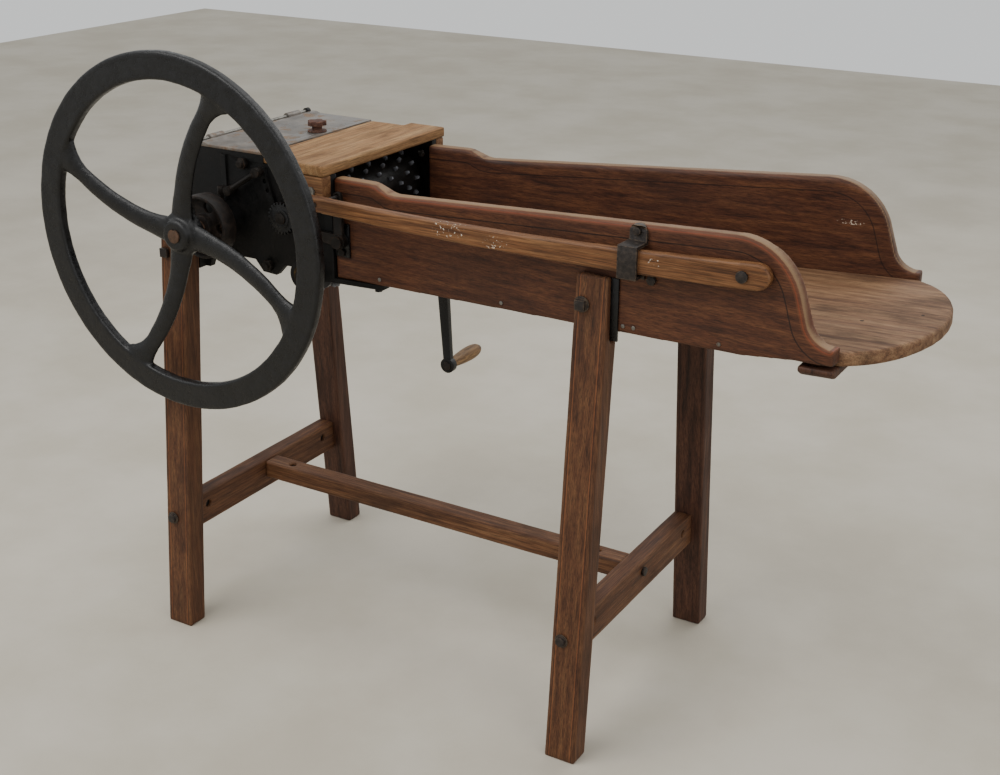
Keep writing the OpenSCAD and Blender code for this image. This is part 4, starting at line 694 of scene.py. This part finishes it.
fittings = [
    ("leg_plates", "frame", "black_iron", blackEnamel, 1.2),
    ("leg_bolts", "frame", "black_iron", agedBolt, 2.2),
    ("rail_bolts", "frame", "black_iron", agedBolt, 2.6),
    ("rod_keeper", "frame", "black_iron", agedBolt, 1.6),
    ("keeper_screws", "frame", "steel", agedBolt, 1.2),
    ("cheek_bolts", "frame", "steel", wipedSteel, 1.5),
    ("floor_nails", "frame", "steel", wipedSteel, 0.5),
    ("near_side_casting", "frame", "black_iron", dustyEnamel, 1.6),
    ("far_side_casting", "frame", "black_iron", dustyEnamel, 1.6),
    ("brace_rod", "frame", "black_iron", oilyIron, 1.6),
    ("oil_cups", "frame", "bronze", oilyIron, 1.2),
    ("lever_bracket", "frame", "black_iron", blackEnamel, 1.0),
    ("tie_bolts", "frame", "bare_iron", oilyIron, 1.2),
    ("belt_pulley", "flywheel_shaft", "rusty_iron", oilyRust, 1.2),
    ("cutter_shaft", "flywheel_shaft", "rusty_iron", shaftEnd, 1.2),
    ("crank_arm", "crank", "black_iron", blackEnamel, 2.4),
    ("crank_spindle", "crank", "steel", agedBolt, 1.2),
    ("lid", "lid", "lid_iron", graphiteLid, 1.4),
    ("lid_knob", "lid_knob", "rusty_iron", rustedIron, 1.8),
    ("shift_rod_bolts", "shift_rod", "black_iron", agedBolt, 1.6),
    ("shift_lever", "shift_lever", "bare_iron", oilyIron, 1.2),
    ("upper_roller_gear", "upper_roller", "bare_iron", oilyIron, 0.7),
    ("lower_roller_gear", "crank", "bare_iron", oilyIron, 0.7),
    ("ribbed_collar", "upper_roller", "black_iron", blackEnamel, 0.7),
    ("roller_blocks", "roller_carriage", "bare_iron", oilyIron, 1.0),
    ("upper_roller_shaft", "upper_roller", "steel", oilyIron, 1.0),
    ("crank_shaft", "crank", "steel", oilyIron, 1.0),
]
for entry in fittings:
    softenFitting(*entry)


# feed rollers: every spike drawn in to a blunt point
rollerSettings = {"upper_roller": {"body": "upper_roller", "axle": (-224.41, 904.54), "reach": 64, "point": 0.5},
                  "lower_roller": {"body": "crank", "axle": (-196.41, 793), "reach": 45, "point": 0.4}}


def makeSpikedRoller(nodeName, s):
    piece = copyNode(nodeName, nodeName + "Spiked", 1)
    axle = place(s["axle"][0], 0, s["axle"][1])

    def fromAxle(co):
        return math.hypot(co.x - axle.x, co.z - axle.z) * 1000

    tips = [f.center.copy() for f in piece.data.polygons if fromAxle(f.center) > s["reach"] - 0.6]
    editPiece(piece)
    for tip in tips:
        selectWhere(piece, "vertices", lambda v: (v.co - tip).length < 0.0072 and fromAxle(v.co) > s["reach"] - 0.6)
        bpy.ops.transform.resize(value=(s["point"],) * 3, center_override=tip)
    doneEditing()
    storeDistance(piece, "fromAxle", lambda co: fromAxle(co) - s["reach"])
    finishPiece(piece, s["body"], [nodeName], toothedIron, 30)
    return len(tips)


for nodeName, settings in rollerSettings.items():
    print(nodeName, makeSpikedRoller(nodeName, settings), "spikes")


grip = copyNode("crank_grip", "turnedGrip", 1)
finishPiece(grip, "grip", ["crank_grip"], turnedBeech, 50)
print("fittings done")
